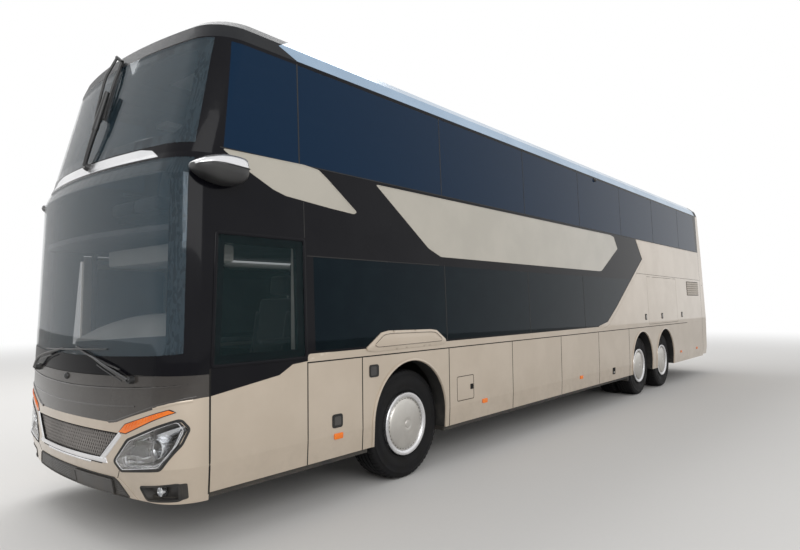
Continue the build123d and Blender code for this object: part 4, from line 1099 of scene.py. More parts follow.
# Front: creases, grille, chrome, lamps, lower insert and plate holder; y and height on the left half
frontShape = {
    # shallow lines across the front: half length, height in the middle and towards the corners
    "creases": ((1.22, 1.098, 1.152), (0.88, 0.972, 1.030)),
    "seams": ((1.24, 1.104, 1.158), (1.262, 1.192, 1.226)),
    "shoulderCrease": [(0.60, 0.874), (0.69, 0.888), (1.19, 1.050), (1.262, 1.070)],
    "bumperSeam": [(0.726, 0.545), (0.690, 0.490)],
    "bumperCrease": [(1.060, 1.000), (1.200, 1.036), (1.255, 1.046)],
    "grille": [(-0.700, 0.800), (-0.495, 0.616), (0.495, 0.616), (0.700, 0.800)],
    "grilleDepth": 0.038,
    "mesh": 0.030,
    "meshSlope": 0.6,
    "chrome": [(-0.742, 0.806), (-0.560, 0.628), (-0.505, 0.600), (0.505, 0.600), (0.560, 0.628),
               (0.742, 0.806)],
    "chromeSection": ((-0.5, -1.5), (-0.5, 0.1), (-0.42, 0.6), (-0.15, 1.0), (0.15, 0.9), (0.42, 0.4),
                      (0.5, 0.0), (0.5, -1.5)),
    "chromeShadow": [(-0.585, 0.612), (-0.525, 0.580), (0.525, 0.580), (0.585, 0.612)],
    "insert": [(-0.795, 0.364), (0.795, 0.364), (0.693, 0.466), (0.655, 0.486), (-0.655, 0.486),
               (-0.693, 0.466)],
    "insertEnd": [(0.797, 0.361), (0.880, 0.361), (0.750, 0.470), (0.702, 0.492), (0.657, 0.490),
                  (0.696, 0.468)],
    "insertSlats": 7,
    "plate": (0.112, 0.628, 0.372, 0.474, 0.012),
    # the black border under the lower windscreen: its lower line, its upper edge and its corners
    "screenLine": (1.0, 1.194, 1.234),
    "screenEdge": [(1.0, 1.347), (0.6, 1.334), (0.0, 1.326), (-0.6, 1.334), (-1.0, 1.347)],
    "screenCorner": [(1.0, 1.2175), (1.08, 1.218), (1.17, 1.219), (1.262, 1.221), (1.262, 1.372),
                     (1.17, 1.360), (1.08, 1.352), (1.0, 1.347)],
    "camera": (-0.069, 1.158),
    "cameraProfile": ((-0.01, 0.0005), (-0.01, 0.026), (0.006, 0.026), (0.016, 0.019), (0.021, 0.010),
                      (0.022, 0.0005)),
}


def clippedLines(outline, pitch, slope):
    # straight lines of one slope, cut to the outline
    lowU, highU, lowV, highV = extent(outline)
    steps = 40
    lines = []
    start = lowU - abs(slope) * (highV - lowV)
    while start < highU + abs(slope) * (highV - lowV):
        line = [(start + slope * (highV - lowV) * part / steps, lowV + (highV - lowV) * part / steps)
                for part in range(steps + 1)]
        run = [spot for spot in line if inside(spot, outline)]
        if len(run) > 2:
            lines.append([run[0], run[-1]])
        start += pitch
    return lines


def curveLine(half, middle, edge, steps=24):
    # a shallow line across the front: height in the middle and at edgeAt
    edgeAt = 1.25
    line = []
    for step in range(steps + 1):
        y = half * (2 * step / steps - 1)
        line.append((y, middle + (edge - middle) * (y / edgeAt) ** 2))
    return line


def makeFrontLines():
    bm = bmesh.new()
    for line in frontShape["creases"]:
        addBead(bm, curveLine(*line), onFront, 0.010, 0.004)
    for hand in (1, -1):
        addBead(bm, flip(frontShape["shoulderCrease"], hand), onFront, 0.016, 0.006)
    makePiece("frontCreases", bm, ["frontBlack"], sharp=50)
    bm = bmesh.new()
    for line in frontShape["seams"]:
        addBead(bm, curveLine(*line), onFront, 0.005, 0.0008)
    addPlate(bm, roundedOutline(frontShape["insert"], 0.02), onFront, 0.0012, 0.004, 0.05, 1)
    addBead(bm, frontShape["chromeShadow"], onFront, 0.014, 0.0012, spacing=0.04)
    border = curveLine(*frontShape["screenLine"]) + frontShape["screenEdge"]
    addPlate(bm, border, onFront, 0.0020, 0.0030, 0.07, 2)
    for hand in (1, -1):
        addBead(bm, flip(frontShape["bumperSeam"], hand), onFront, 0.006, 0.0010)
        addPlate(bm, flip(frontShape["screenCorner"], hand), onFront, 0.0020, 0.0030, 0.018, 2)
    makePiece("frontSeams", bm, ["seamShadow", "grillePlastic", "blackGloss"], sharp=50)
    bm = bmesh.new()
    for hand in (1, -1):
        addPlate(bm, flip(frontShape["insertEnd"], hand), onFront, 0.0020, 0.014, 0.04)
        addBead(bm, flip(frontShape["bumperCrease"], hand), onFront, 0.020, 0.005, spacing=0.04)
    makePiece("bumperCorners", bm, ["champagnePaint"])


def makeInsert():
    bm = bmesh.new()
    addBead(bm, roundedOutline(frontShape["insert"], 0.02), onFront, 0.012, 0.006, 0, True, 0.04, 1)
    for number in range(frontShape["insertSlats"]):
        z = 0.378 + 0.015 * number
        reach = 0.770 - 0.017 * number
        addBead(bm, [(-reach, z), (reach, z)], onFront, 0.006, 0.003, 0.001, spacing=0.08)
    plate = rectangle(*frontShape["plate"])
    addPlate(bm, plate, onFront, 0.014, 0.016, 0.06)
    addBead(bm, plate, onFront, 0.010, 0.004, 0.014, True, 0.04)
    makePiece("bumperInsert", bm, ["grillePlastic", "windowRubber"])


def makeGrille():
    bm = bmesh.new()
    outline = frontShape["grille"]
    addPlate(bm, outline, onFront, 0.002 - frontShape["grilleDepth"], 0.004, 0.06, 1)
    for slope in (-frontShape["meshSlope"], frontShape["meshSlope"]):
        for line in clippedLines(outline, frontShape["mesh"], slope):
            addBead(bm, line, onFront, 0.009, 0.004, -0.018, spacing=0.08)
    wall = [[bm.verts.new(onFront(*point) - facing(onFront, *point) * depth)
             for depth in (0, frontShape["grilleDepth"])] for point in denser(outline, 0.05)]
    joinRings(bm, wall, 1, True, False)
    makePiece("grilleMesh", bm, ["grilleMesh", "seamShadow"], "body", ["grille"], 30)

    bm = bmesh.new()
    line = [tuple(point)[:2] for point in smoothLine([(*p, 0) for p in frontShape["chrome"]], 8)]
    lower = [(y * 0.93, z - 0.028) for y, z in line if abs(y) < 0.50]
    addBead(bm, line, onFront, 0.036, 0.0042, spacing=0.03, section=frontShape["chromeSection"])
    addBead(bm, lower, onFront, 0.016, 0.006, spacing=0.03, section=frontShape["chromeSection"])
    makePiece("grilleSurround", bm, ["polishedChrome"], sharp=50)

    bm = bmesh.new()
    addLathe(bm, frontShape["cameraProfile"], onFront(*frontShape["camera"]), "x", 28)
    makePiece("frontCameraButton", bm, ["wiperBlack"], sharp=35)


makeFrontLines()
makeInsert()
makeGrille()


# Front lamps on the left half: y and height on the front, profiles as distance forwards, radius
lampShape = {
    "lamp": [(0.690, 0.620), (0.820, 0.765), (1.215, 0.915), (1.245, 0.860), (1.215, 0.745), (1.120, 0.600),
             (0.745, 0.555)],
    "rim": [(0.681, 0.612), (0.814, 0.768), (1.222, 0.926), (1.250, 0.862), (1.228, 0.760), (1.130, 0.597),
            (0.744, 0.548)],
    "fog": [(0.918, 0.460), (1.215, 0.500), (1.205, 0.386), (0.969, 0.372)],
    "fogEnd": [(1.200, 0.498), (1.236, 0.502), (1.228, 0.398), (1.190, 0.384)],
    "marker": [(0.727, 0.816), (0.790, 0.872), (1.165, 0.990), (1.195, 0.975), (0.800, 0.813)],
    "bezel": [(0.765, 0.655), (0.845, 0.748), (0.985, 0.800), (0.995, 0.660), (0.93, 0.640)],
    "guide": ((0.745, 0.640), (0.770, 0.590), (0.90, 0.592), (1.08, 0.622), (1.165, 0.720), (1.205, 0.845)),
    "blocks": ((0.80, 0.615, 0.055), (0.90, 0.622, 0.075)),  # y, height, width
    "depth": 0.115,
    "fogDepth": 0.060,
    # turned parts: y, height, depth behind the skin, profile, segments, look
    "turned": (
        (1.075, 0.728, 0.055, ((-0.05, 0.055), (0.012, 0.068), (0.022, 0.067), (0.024, 0.060), (0.006, 0.050),
                               (-0.02, 0.046), (-0.05, 0.046)), 40, 1),
        (1.075, 0.728, 0.055, ((-0.02, 0.0005), (-0.02, 0.050), (0.002, 0.049), (0.022, 0.038),
                               (0.031, 0.020), (0.034, 0.0005)), 36, 2),
        (1.075, 0.728, 0.055, ((-0.040, 0.0005), (-0.040, 0.046), (-0.024, 0.044), (-0.024, 0.0005)), 36, 1),
        (1.075, 0.440, 0.036, ((-0.02, 0.0005), (-0.02, 0.036), (0.014, 0.036), (0.016, 0.030), (0.0, 0.026),
                               (-0.004, 0.0005)), 28, 1),
        (1.075, 0.440, 0.036, ((0.000, 0.0005), (0.000, 0.029), (0.010, 0.026), (0.016, 0.014),
                               (0.018, 0.0005)), 28, 2),
    ),
    "markerRibs": 11,
}


def behindFront(y, z, depth):
    return onFront(y, z) - Vector((depth, 0, 0))


def shrunk(points, by):
    middle = Vector((sum(p[0] for p in points), sum(p[1] for p in points))) / len(points)
    out = []
    for point in points:
        offset = Vector(point) - middle
        out.append(tuple(middle + offset * max(0.1, 1 - by / offset.length)))
    return out


def addBowl(bm, outline, depth, by, index):
    # a recess in the front: walls from the outline inwards to a smaller floor
    outer = denser(outline, 0.03)
    levels = ((outer, 0.004), (shrunk(outer, by * 0.4), depth * 0.6), (shrunk(outer, by), depth))
    rings = [[bm.verts.new(behindFront(y, z, drop)) for y, z in points] for points, drop in levels]
    joinRings(bm, rings, index)
    bm.faces.new(rings[-1]).material_index = index


def addBrowMirror(bm, hand):
    # the mirror above the projector, running out to the corner
    rows = []
    for step in range(9):
        t = step / 8
        base = behindFront(hand * (1.075 + 0.125 * t), 0.822 + 0.055 * t, 0.026 + 0.040 * t)
        rows.append([bm.verts.new(base + Vector((-0.008 * part ** 2, 0, -0.024 * part * (1 - 0.25 * t))))
                     for part in range(6)])
    joinRings(bm, rows, 1, closed=False)


def makeLampInside(name, hand, lamp, fog, replaced):
    bm = bmesh.new()
    addBowl(bm, lamp, lampShape["depth"], 0.05, 0)
    addBowl(bm, fog, lampShape["fogDepth"], 0.02, 4)
    for y, z, depth, profile, segments, look in lampShape["turned"]:
        addLathe(bm, profile, behindFront(hand * y, z, depth), "x", segments, look)
    addBrowMirror(bm, hand)
    addTube(bm, smoothLine([behindFront(hand * y, z, 0.040) for y, z in lampShape["guide"]], 5), 0.007, 8, 3)
    for y, z, wide in lampShape["blocks"]:
        spot = behindFront(hand * y, z, 0.055)
        addBox(bm, spot - Vector((0.01, wide / 2, 0.008)), spot + Vector((0.012, wide / 2, 0.008)), 0.003, 1)
    bezel = flip(lampShape["bezel"], hand)
    addPlate(bm, roundedOutline(bezel, 0.015), onFront, -0.060, 0.006, 0.03, 1)
    addPlate(bm, roundedOutline(shrunk(bezel, 0.012), 0.012), onFront, -0.052, 0.012, 0.03, 4, 0.003)
    looks = ["lampHousing", "lampMirror", "clearLens", "satinSilver", "grillePlastic"]
    makePiece(f"{name}LampInside", bm, looks, "body", replaced, 35)


def makeMarkerStrip(name, marker):
    bm = bmesh.new()
    addPlate(bm, marker, onFront, 0.004, 0.030, 0.03, crown=0.003)
    corners = [Vector(point) for point in marker]
    for number in range(lampShape["markerRibs"]):
        t = 0.08 + 0.08 * number
        low = corners[0].lerp(corners[4], 0.3).lerp(corners[3], t)
        high = corners[1].lerp(corners[2], t)
        rib = [tuple(low.lerp(high, 0.15)), tuple(low.lerp(high, 0.9))]
        addBead(bm, rib, onFront, 0.004, 0.0015, 0.0068, spacing=0.05)
    makePiece(f"{name}MarkerStrip", bm, ["orangeLens"])


def makeFrontLamps(name, hand):
    lamp = roundedOutline(flip(lampShape["lamp"], hand), 0.012, 3)
    rim = roundedOutline(flip(lampShape["rim"], hand), 0.020, 4)
    fog = roundedOutline(flip(lampShape["fog"], hand), 0.025)
    marker = flip(lampShape["marker"], hand)
    makeLampInside(name, hand, lamp, fog, ["front_lamps"] if hand > 0 else [])
    bm = bmesh.new()
    addPlate(bm, shrunk(lamp, 0.004), onFront, 0.001, 0.004, 0.04)
    makePiece(f"{name}LampCover", bm, ["clearLens"])
    bm = bmesh.new()
    addBead(bm, rim, onFront, 0.018, 0.004, 0, True, 0.02)
    addBead(bm, fog, onFront, 0.014, 0.004, 0, True, 0.02)
    addPlate(bm, roundedOutline(flip(lampShape["fogEnd"], hand), 0.010), onFront, 0.0025, 0.006, 0.02)
    addBead(bm, shrunk(rim, 0.020), onFront, 0.006, 0.003, -0.001, True, 0.02, 1)
    addBead(bm, shrunk(marker, -0.004), onFront, 0.010, 0.003, 0, True, 0.03)
    makePiece(f"{name}LampFrame", bm, ["windowRubber", "satinSilver"])
    makeMarkerStrip(name, marker)


for name, hand in hands:
    makeFrontLamps(name, hand)
print("front made")


# Wipers: two below, one above; y, height and distance off the glass
wiperShape = {
    # pivot, bend, blade middle, blade from, blade to
    "arms": (((0.84, 1.18), (0.60, 1.262), (0.36, 1.330), (0.705, 1.245), (0.090, 1.390)),
             ((-0.84, 1.18), (-0.60, 1.290), (-0.10, 1.372), (-0.560, 1.350), (0.545, 1.384))),
    "armRise": (0.036, 0.044, 0.025),  # at the pivot, the bend and the blade
    "upright": ((-0.064, 2.822, 0.030), (-0.030, 2.980, 0.044), (0.001, 3.140, 0.052)),
    "housing": ((-0.004, 3.110, 0.052), (0.039, 3.430, 0.062)),
    "outerBar": ((-0.020, 3.180, 0.055), (-0.060, 3.268, 0.058), (-0.062, 3.562, 0.070),
                 (-0.050, 3.660, 0.060), (-0.030, 3.772, 0.052)),
    "innerBar": ((0.004, 3.225, 0.016), (-0.010, 3.500, 0.016), (0.010, 3.735, 0.016)),
    "link": ((0.001, 3.140, 0.050), (0.004, 3.235, 0.020)),
    "uprightBlade": ((0.004, 3.215), (-0.008, 3.500), (0.010, 3.745)),
}


def offGlass(y, z, lift):
    return onFront(y, z) + facing(onFront, y, z) * lift


def addLowerWiper(bm, pivot, bend, middle, low, high):
    base = offGlass(*pivot, 0.0)
    normal = facing(onFront, *pivot)
    addTube(bm, [base - normal * 0.006, base + normal * 0.034], [0.030, 0.024], 20)
    addTube(bm, [base + normal * 0.030, base + normal * 0.042], [0.017, 0.012], 16)
    spots = [offGlass(*spot, rise) for spot, rise in zip((pivot, bend, middle), wiperShape["armRise"])]
    line = smoothLine(spots)
    addTube(bm, line, [0.014 - 0.007 * number / (len(line) - 1) for number in range(len(line))])
    addTube(bm, [point - Vector((0, 0, 0.030)) for point in line[2:-3]], 0.0045, 8)
    steps = 16
    bulge = [math.sin(math.pi * step / steps) for step in range(steps + 1)]
    spine = []
    for step in range(steps + 1):
        y, z = Vector(low).lerp(Vector(high), step / steps)
        spine.append(offGlass(y, z, 0.012 + 0.010 * bulge[step]))
    addTube(bm, spine, [0.0035 + 0.0045 * share for share in bulge], 8)
    addBead(bm, [low, high], onFront, 0.008, 0.007, 0.006, spacing=0.05)


def makeWipers():
    bm = bmesh.new()
    for arm in wiperShape["arms"]:
        addLowerWiper(bm, *arm)
    foot = wiperShape["upright"][0]
    addTube(bm, [offGlass(*foot[:2], -0.006), offGlass(*foot)], [0.034, 0.026], 20)
    upright, outer, inner = (smoothLine([offGlass(*point) for point in wiperShape[key]])
                             for key in ("upright", "outerBar", "innerBar"))
    addTube(bm, upright, [0.017 + 0.004 * number / (len(upright) - 1) for number in range(len(upright))], 12)
    addTube(bm, [offGlass(*point) for point in wiperShape["housing"]], [0.026, 0.021], 12)
    addTube(bm, outer, 0.0115)
    addTube(bm, inner, 0.0115)
    addTube(bm, [outer[-1] + Vector((0, -0.012, 0.004)), inner[-1] + Vector((0, 0.012, 0.004))], 0.015)
    addTube(bm, [offGlass(*point) for point in wiperShape["link"]], 0.010, 8)
    addBead(bm, wiperShape["uprightBlade"], onFront, 0.008, 0.010, 0.004, spacing=0.05)
    makePiece("wiperArms", bm, ["wiperBlack"], "body", ["wipers"])


makeWipers()
print("wipers made")


# Camera wings at the front corners
wingShape = {
    # x, inner y, outer y, top, bottom, height of the widest line
    "sections": ((6.292, 1.205, 1.318, 2.742, 2.640, 2.680), (6.300, 1.200, 1.352, 2.757, 2.604, 2.677),
                 (6.330, 1.190, 1.382, 2.765, 2.566, 2.674), (6.400, 1.185, 1.400, 2.766, 2.545, 2.673),
                 (6.480, 1.183, 1.408, 2.764, 2.538, 2.675), (6.560, 1.185, 1.412, 2.752, 2.546, 2.676),
                 (6.640, 1.198, 1.408, 2.727, 2.566, 2.670), (6.700, 1.222, 1.392, 2.698, 2.596, 2.658),
                 (6.732, 1.245, 1.365, 2.676, 2.622, 2.650), (6.738, 1.258, 1.345, 2.670, 2.630, 2.650)),
    "around": 22,
    "fullness": 0.75,  # 1 gives plain ovals, less gives squarer ones
}


def squarer(value):
    return math.copysign(abs(value) ** wingShape["fullness"], value)


def makeWing(name, hand):
    bm = bmesh.new()
    rings = []
    around = wingShape["around"]
    for x, innerY, outerY, top, bottom, widest in wingShape["sections"]:
        ring = []
        for number in range(around):
            angle = 2 * math.pi * number / around
            y = (outerY + innerY) / 2 + (outerY - innerY) / 2 * squarer(math.cos(angle))
            height = (top - widest) if math.sin(angle) > 0 else (widest - bottom)
            ring.append(bm.verts.new((x, hand * y, widest + height * squarer(math.sin(angle)))))
        rings.append(ring)
    for number, face in enumerate(joinRings(bm, rings)):
        face.material_index = number % around // (around // 2)  # silver above, black below
    capEnds(bm, rings, 1)
    # the joint line along the widest place
    joint = [Vector((x, hand * (outerY + 0.0005), widest))
             for x, innerY, outerY, top, bottom, widest in wingShape["sections"][1:-1]]
    addTube(bm, smoothLine(joint, 4), 0.0035, 8, 1)
    wing = makePiece(f"{name}CameraWing", bm, ["satinSilver", "wiperBlack"], "body",
                     ["camera_wings"] if hand > 0 else [], 45)
    soft = wing.modifiers.new("soft", "SUBSURF")
    soft.levels = soft.render_levels = 1


for name, hand in hands:
    makeWing(name, hand)
print("camera wings made")


# Cab: driver's seat, dashboard, steering wheel, handrails and partition
cabShape = {
    "seat": (5.78, 0.56, 0.760),
    # pads and plain boxes from the seat's place: corners, radius, look, lean, pivot, crown
    "pads": (((-0.26, -0.25, 0.30), (0.22, 0.25, 0.42), 0.045, 0, 0, (0, 0, 0), 0.015),
             ((-0.36, -0.24, 0.40), (-0.24, 0.24, 1.00), 0.05, 0, -0.16, (-0.24, 0, 0.40), 0.02),
             ((-0.45, -0.13, 1.02), (-0.36, 0.13, 1.20), 0.035, 0, -0.10, (-0.36, 0, 1.02), 0.01),
             ((-0.28, -0.265, 0.41), (0.17, -0.195, 0.47), 0.03, 0, 0, (0, 0, 0), 0),
             ((-0.28, 0.195, 0.41), (0.17, 0.265, 0.47), 0.03, 0, 0, (0, 0, 0), 0),
             ((-0.33, -0.245, 0.46), (-0.215, -0.185, 0.88), 0.028, 0, -0.16, (-0.24, 0, 0.40), 0),
             ((-0.33, 0.185, 0.46), (-0.215, 0.245, 0.88), 0.028, 0, -0.16, (-0.24, 0, 0.40), 0),
             ((-0.30, -0.33, 0.60), (0.08, -0.27, 0.645), 0.02, 1, 0, (0, 0, 0), 0),
             ((-0.30, 0.27, 0.60), (0.08, 0.33, 0.645), 0.02, 1, 0, (0, 0, 0), 0)),
    "base": (((-0.20, -0.17, 0), (0.16, 0.17, 0.05), 0.012, 0),
             ((-0.22, -0.19, 0.262), (0.18, 0.19, 0.305), 0.012, 0)),
    "bellows": 6,
    # dashboard: y of its sections, then its buttons and dials
    "stations": (-0.42, -0.40, -0.30, -0.252, -0.248, -0.10, 0.05, 0.20, 0.35, 0.50, 0.65, 0.80, 0.92, 1.02,
                 1.09, 1.14, 1.165, 1.18),
    "dials": (0.47, 0.65),
    "dialProfile": ((-0.012, 0.0005), (-0.012, 0.058), (0.0, 0.058), (0.002, 0.052), (0.008, 0.050),
                    (0.008, 0.0005)),
    "screen": ((6.385, 0.055, 1.130), (6.400, 0.265, 1.265), 0.005, 2),
    "buttons": 5,
    "wheelHub": (6.300, 0.560, 1.290),
    "wheelRadius": 0.225,
    "wheelLean": 60,
    "rails": (((5.02, 0.23, 0.77), (5.02, 0.23, 1.95)),
              ((5.60, -0.28, 0.77), (5.60, -0.28, 1.62), (5.75, -0.28, 1.70), (6.30, -0.28, 1.40),
               (6.42, -0.26, 1.30)),
              ((6.50, -0.95, 2.92), (6.54, -0.5, 3.02), (6.55, 0, 3.05), (6.54, 0.5, 3.02),
               (6.50, 0.95, 2.92))),
    "partition": (((4.985, 0.24, 0.765), (5.010, 1.14, 2.10), 0.01, 0),
                  ((5.010, 0.30, 1.30), (5.016, 1.08, 2.05), 0.003, 1),
                  ((6.20, -0.20, 2.02), (6.62, 1.02, 2.16), 0.03, 2),
                  ((5.705, 1.130, 1.270), (5.740, 1.175, 2.200), 0.01, 2)),
}


def addBoxes(bm, boxes, place=(0, 0, 0)):
    for low, high, radius, look in boxes:
        addBox(bm, Vector(place) + Vector(low), Vector(place) + Vector(high), radius, look)


def addPads(bm, pads, place):
    # rounded pads with a crowned face, each leaning back about its pivot
    for low, high, radius, look, lean, pivot, crown in pads:
        middle = Vector(place) + (Vector(low) + Vector(high)) / 2
        half = (Vector(high) - Vector(low)) / 2
        hub = Vector(place) + Vector(pivot)
        turn = Matrix.Rotation(lean, 3, "Y")
        start = len(bm.verts)
        addBox(bm, middle - half, middle + half, radius, look, 3)
        bm.verts.ensure_lookup_table()
        for vertex in bm.verts[start:]:
            offset = vertex.co - middle
            share = 1 - (offset.y / half.y) ** 2
            if abs(offset.x) > half.x * 0.6:
                vertex.co.x += crown * share * (1 if offset.x > 0 else -0.3)
            if offset.z > half.z * 0.6:
                vertex.co.z += crown * share * 0.6
            vertex.co = hub + turn @ (vertex.co - hub)


def makeDriverSeat():
    bm = bmesh.new()
    addPads(bm, cabShape["pads"], cabShape["seat"])
    pads = makePiece("driverSeatPads", bm, ["driverCloth", "cabDark"], "body", ["driver_seat"], 50)
    bm = bmesh.new()
    addBoxes(bm, cabShape["base"], cabShape["seat"])
    fold = 0.036  # height of one fold of the bellows
    for number in range(cabShape["bellows"]):
        inset = 0.02 * (number % 2)
        low = 0.05 + number * fold
        addBoxes(bm, [((inset - 0.17, inset - 0.15, low), (0.13 - inset, 0.15 - inset, low + fold), 0.01, 0)],
                 cabShape["seat"])
    makePiece("driverSeatBase", bm, ["cabDark"])


def dashboardRing(bm, y):
    # the closed section at one y: windscreen side, crest, hollow towards the driver, underside
    front = min(6.780, onFront(y, 1.5).x - 0.085)
    edge = 1.42 + 0.055 * (y + 0.45)
    rise = 0.155 * math.sqrt(max(0.02, 1 - ((y - 0.52) / 0.98) ** 2))
    crest = edge + rise
    base = 0.765 if y > -0.25 else 1.12
    profile = ((front, base), (front, edge - 0.02), (front - 0.008, edge), (front - 0.05, edge + 0.45 * rise),
               (front - 0.11, edge + 0.86 * rise), (front - 0.16, crest), (6.545, crest - 0.012),
               (6.528, crest - 0.06), (6.518, 1.355), (6.470, 1.336), (6.430, 1.318), (6.390, 1.270),
               (6.385, 1.200), (6.420, 1.140), (6.500, 1.135), (6.600, 1.130), (6.600, base))
    return [bm.verts.new((x, y, z)) for x, z in profile]


def makeDashboard():
    bm = bmesh.new()
    rings = [dashboardRing(bm, y) for y in cabShape["stations"]]
    size = len(rings[0])
    for number, face in enumerate(joinRings(bm, rings, 1)):
        if 1 <= number % size < 9:
            face.material_index = 0  # the light upper part
    capEnds(bm, rings, 1)
    # the hood over the dials
    hood = []
    for step in range(13):
        angle = math.pi * step / 12
        y = 0.56 - 0.22 * math.cos(angle)
        rise = 0.045 * math.sin(angle) ** 0.6
        hood.append([bm.verts.new((6.430, y, 1.318 + rise)), bm.verts.new((6.520, y, 1.330 + rise))])
    joinRings(bm, hood, closed=False)
    for y in cabShape["dials"]:
        addLathe(bm, cabShape["dialProfile"], (6.393, y, 1.255), "x", 32, 1)
    addBoxes(bm, [cabShape["screen"]])
    for number in range(cabShape["buttons"]):
        low = 1.150 + number * 0.024
        addBoxes(bm, [((6.390, 0.86, low), (6.405, 0.98, low + 0.016), 0.003, 2)])
    makePiece("dashboardShell", bm, ["cabPlastic", "cabDark", "privacyGlass"], "body", ["dashboard"],
              35)


def makeSteeringWheel():
    bm = bmesh.new()
    hub = Vector(cabShape["wheelHub"])
    lean = math.radians(cabShape["wheelLean"])
    axis = Vector((-math.cos(lean), 0, math.sin(lean)))
    side = Vector((0, 1, 0))
    up = axis.cross(side)
    radius = cabShape["wheelRadius"]
    steps = 56
    ring = [hub + (side * math.cos(turn) + up * math.sin(turn)) * radius
            for turn in (2 * math.pi * step / steps for step in range(steps + 1))]
    addTube(bm, ring, 0.0155, 12, 0, False)
    for turn in (0.15, math.pi - 0.15, math.pi * 1.5):
        spoke = side * math.cos(turn) + up * math.sin(turn)
        addTube(bm, [hub + spoke * 0.03, hub + spoke * 0.12 - axis * 0.004, hub + spoke * radius],
                [0.022, 0.014, 0.011])
    addTube(bm, [hub - axis * 0.02, hub + axis * 0.006, hub + axis * 0.012], [0.070, 0.068, 0.052], 28)
    addTube(bm, [hub - axis * 0.015, hub - axis * 0.10], [0.034, 0.040], 18)
    makePiece("steeringWheelRim", bm, ["cabDark"], "body", ["steering_wheel"])


makeDriverSeat()
makeDashboard()
makeSteeringWheel()
rails = bmesh.new()
for rail in cabShape["rails"]:
    addTube(rails, smoothLine(rail), 0.016)
makePiece("cabHandrails", rails, ["satinSilver"], sharp=50)
partition = bmesh.new()
addBoxes(partition, cabShape["partition"])
makePiece("cabPartition", partition, ["cabDark", "privacyGlass", "cabPlastic"])
print("cab made")


# Passenger seats
seatShape = {
    # floor height, side, x of the first row, rows
    "rows": ((0.400, -1, 3.500, 4), (2.260, 1, 6.150, 4), (2.260, 1, 1.950, 2), (2.260, 1, -1.750, 5),
             (2.260, -1, 6.150, 14)),
    "pitch": 0.820,
    "pairMiddle": 0.670,  # y of the middle of a pair, and the half distance of its seats
    "seatApart": 0.2265,
    # one seat's pads and one pair's frame, listed as in the cab
    "pads": (((-0.42, -0.2185, 0.325), (0.03, 0.2185, 0.450), 0.05, 0, 0, (0, 0, 0), 0.014),
             ((-0.515, -0.2085, 0.42), (-0.405, 0.2085, 1.04), 0.05, 0, -0.20, (-0.42, 0, 0.42), 0.018),
             ((-0.60, -0.1285, 0.985), (-0.535, 0.1285, 1.110), 0.03, 1, -0.12, (-0.56, 0, 0.98), 0.01)),
    "frame": (((-0.36, -0.415, 0.27), (-0.02, 0.415, 0.325), 0.012, 0),
              ((-0.30, -0.325, 0.002), (-0.20, -0.285, 0.28), 0.008, 0),
              ((-0.30, 0.285, 0.002), (-0.20, 0.325, 0.28), 0.008, 0),
              ((-0.42, -0.471, 0.56), (-0.08, -0.443, 0.60), 0.01, 0),
              ((-0.42, 0.443, 0.56), (-0.08, 0.471, 0.60), 0.01, 0)),
}


def makeSeats():
    seats = bmesh.new()
    frames = bmesh.new()
    for floor, side, first, count in seatShape["rows"]:
        for row in range(count):
            place = Vector((first - row * seatShape["pitch"], side * seatShape["pairMiddle"], floor))
            for hand in (-1, 1):
                addPads(seats, seatShape["pads"], place + Vector((0, hand * seatShape["seatApart"], 0)))
            addBoxes(frames, seatShape["frame"], place)
    pads = makePiece("passengerSeatPads", seats, ["seatCloth", "driverCloth"], "body",
                     ["passenger_seats"], 50)
    makePiece("passengerSeatFrames", frames, ["cabDark"])


makeSeats()
print("seats made")


# Linings: light ceilings and luggage racks seen through the glass; boxes listed as in the cab
liningShape = {
    "ceiling": ((-0.62, 3.925), (-0.60, 3.918), (0.60, 3.918), (0.62, 3.925)),
    "ceilingEnds": (-6.2, 5.85),
    "upper": (((-6.15, -1.14, 3.60), (5.70, -0.94, 3.66), 0.015, 0),
              ((-6.15, 0.90, 3.60), (5.70, 1.10, 3.66), 0.015, 0),
              ((-6.15, -0.43, 3.900), (5.70, -0.37, 3.915), 0.005, 1),
              ((-6.15, 0.37, 3.900), (5.70, 0.43, 3.915), 0.005, 1)),
    "lower": (((-1.50, -1.16, 2.13), (5.0, -0.90, 2.205), 0.02, 0),
              ((-1.50, 0.90, 2.13), (5.0, 1.16, 2.205), 0.02, 0),
              ((-1.50, -0.88, 2.185), (5.0, -0.84, 2.205), 0.005, 1),
              ((-1.50, 0.84, 2.185), (5.0, 0.88, 2.205), 0.005, 1)),
}


def makeLinings():
    bm = bmesh.new()
    rings = [[bm.verts.new((x, y, z)) for y, z in liningShape["ceiling"]] for x in liningShape["ceilingEnds"]]
    joinRings(bm, rings, closed=False)
    addBoxes(bm, liningShape["upper"])
    lining = makePiece("upperLining", bm, ["cabPlastic", "cabinLight"])
    lining.modifiers.new("thickness", "SOLIDIFY").thickness = 0.004
    bm = bmesh.new()
    addBoxes(bm, liningShape["lower"])
    makePiece("lowerLining", bm, ["cabPlastic", "cabinLight"])


makeLinings()
print("linings made")


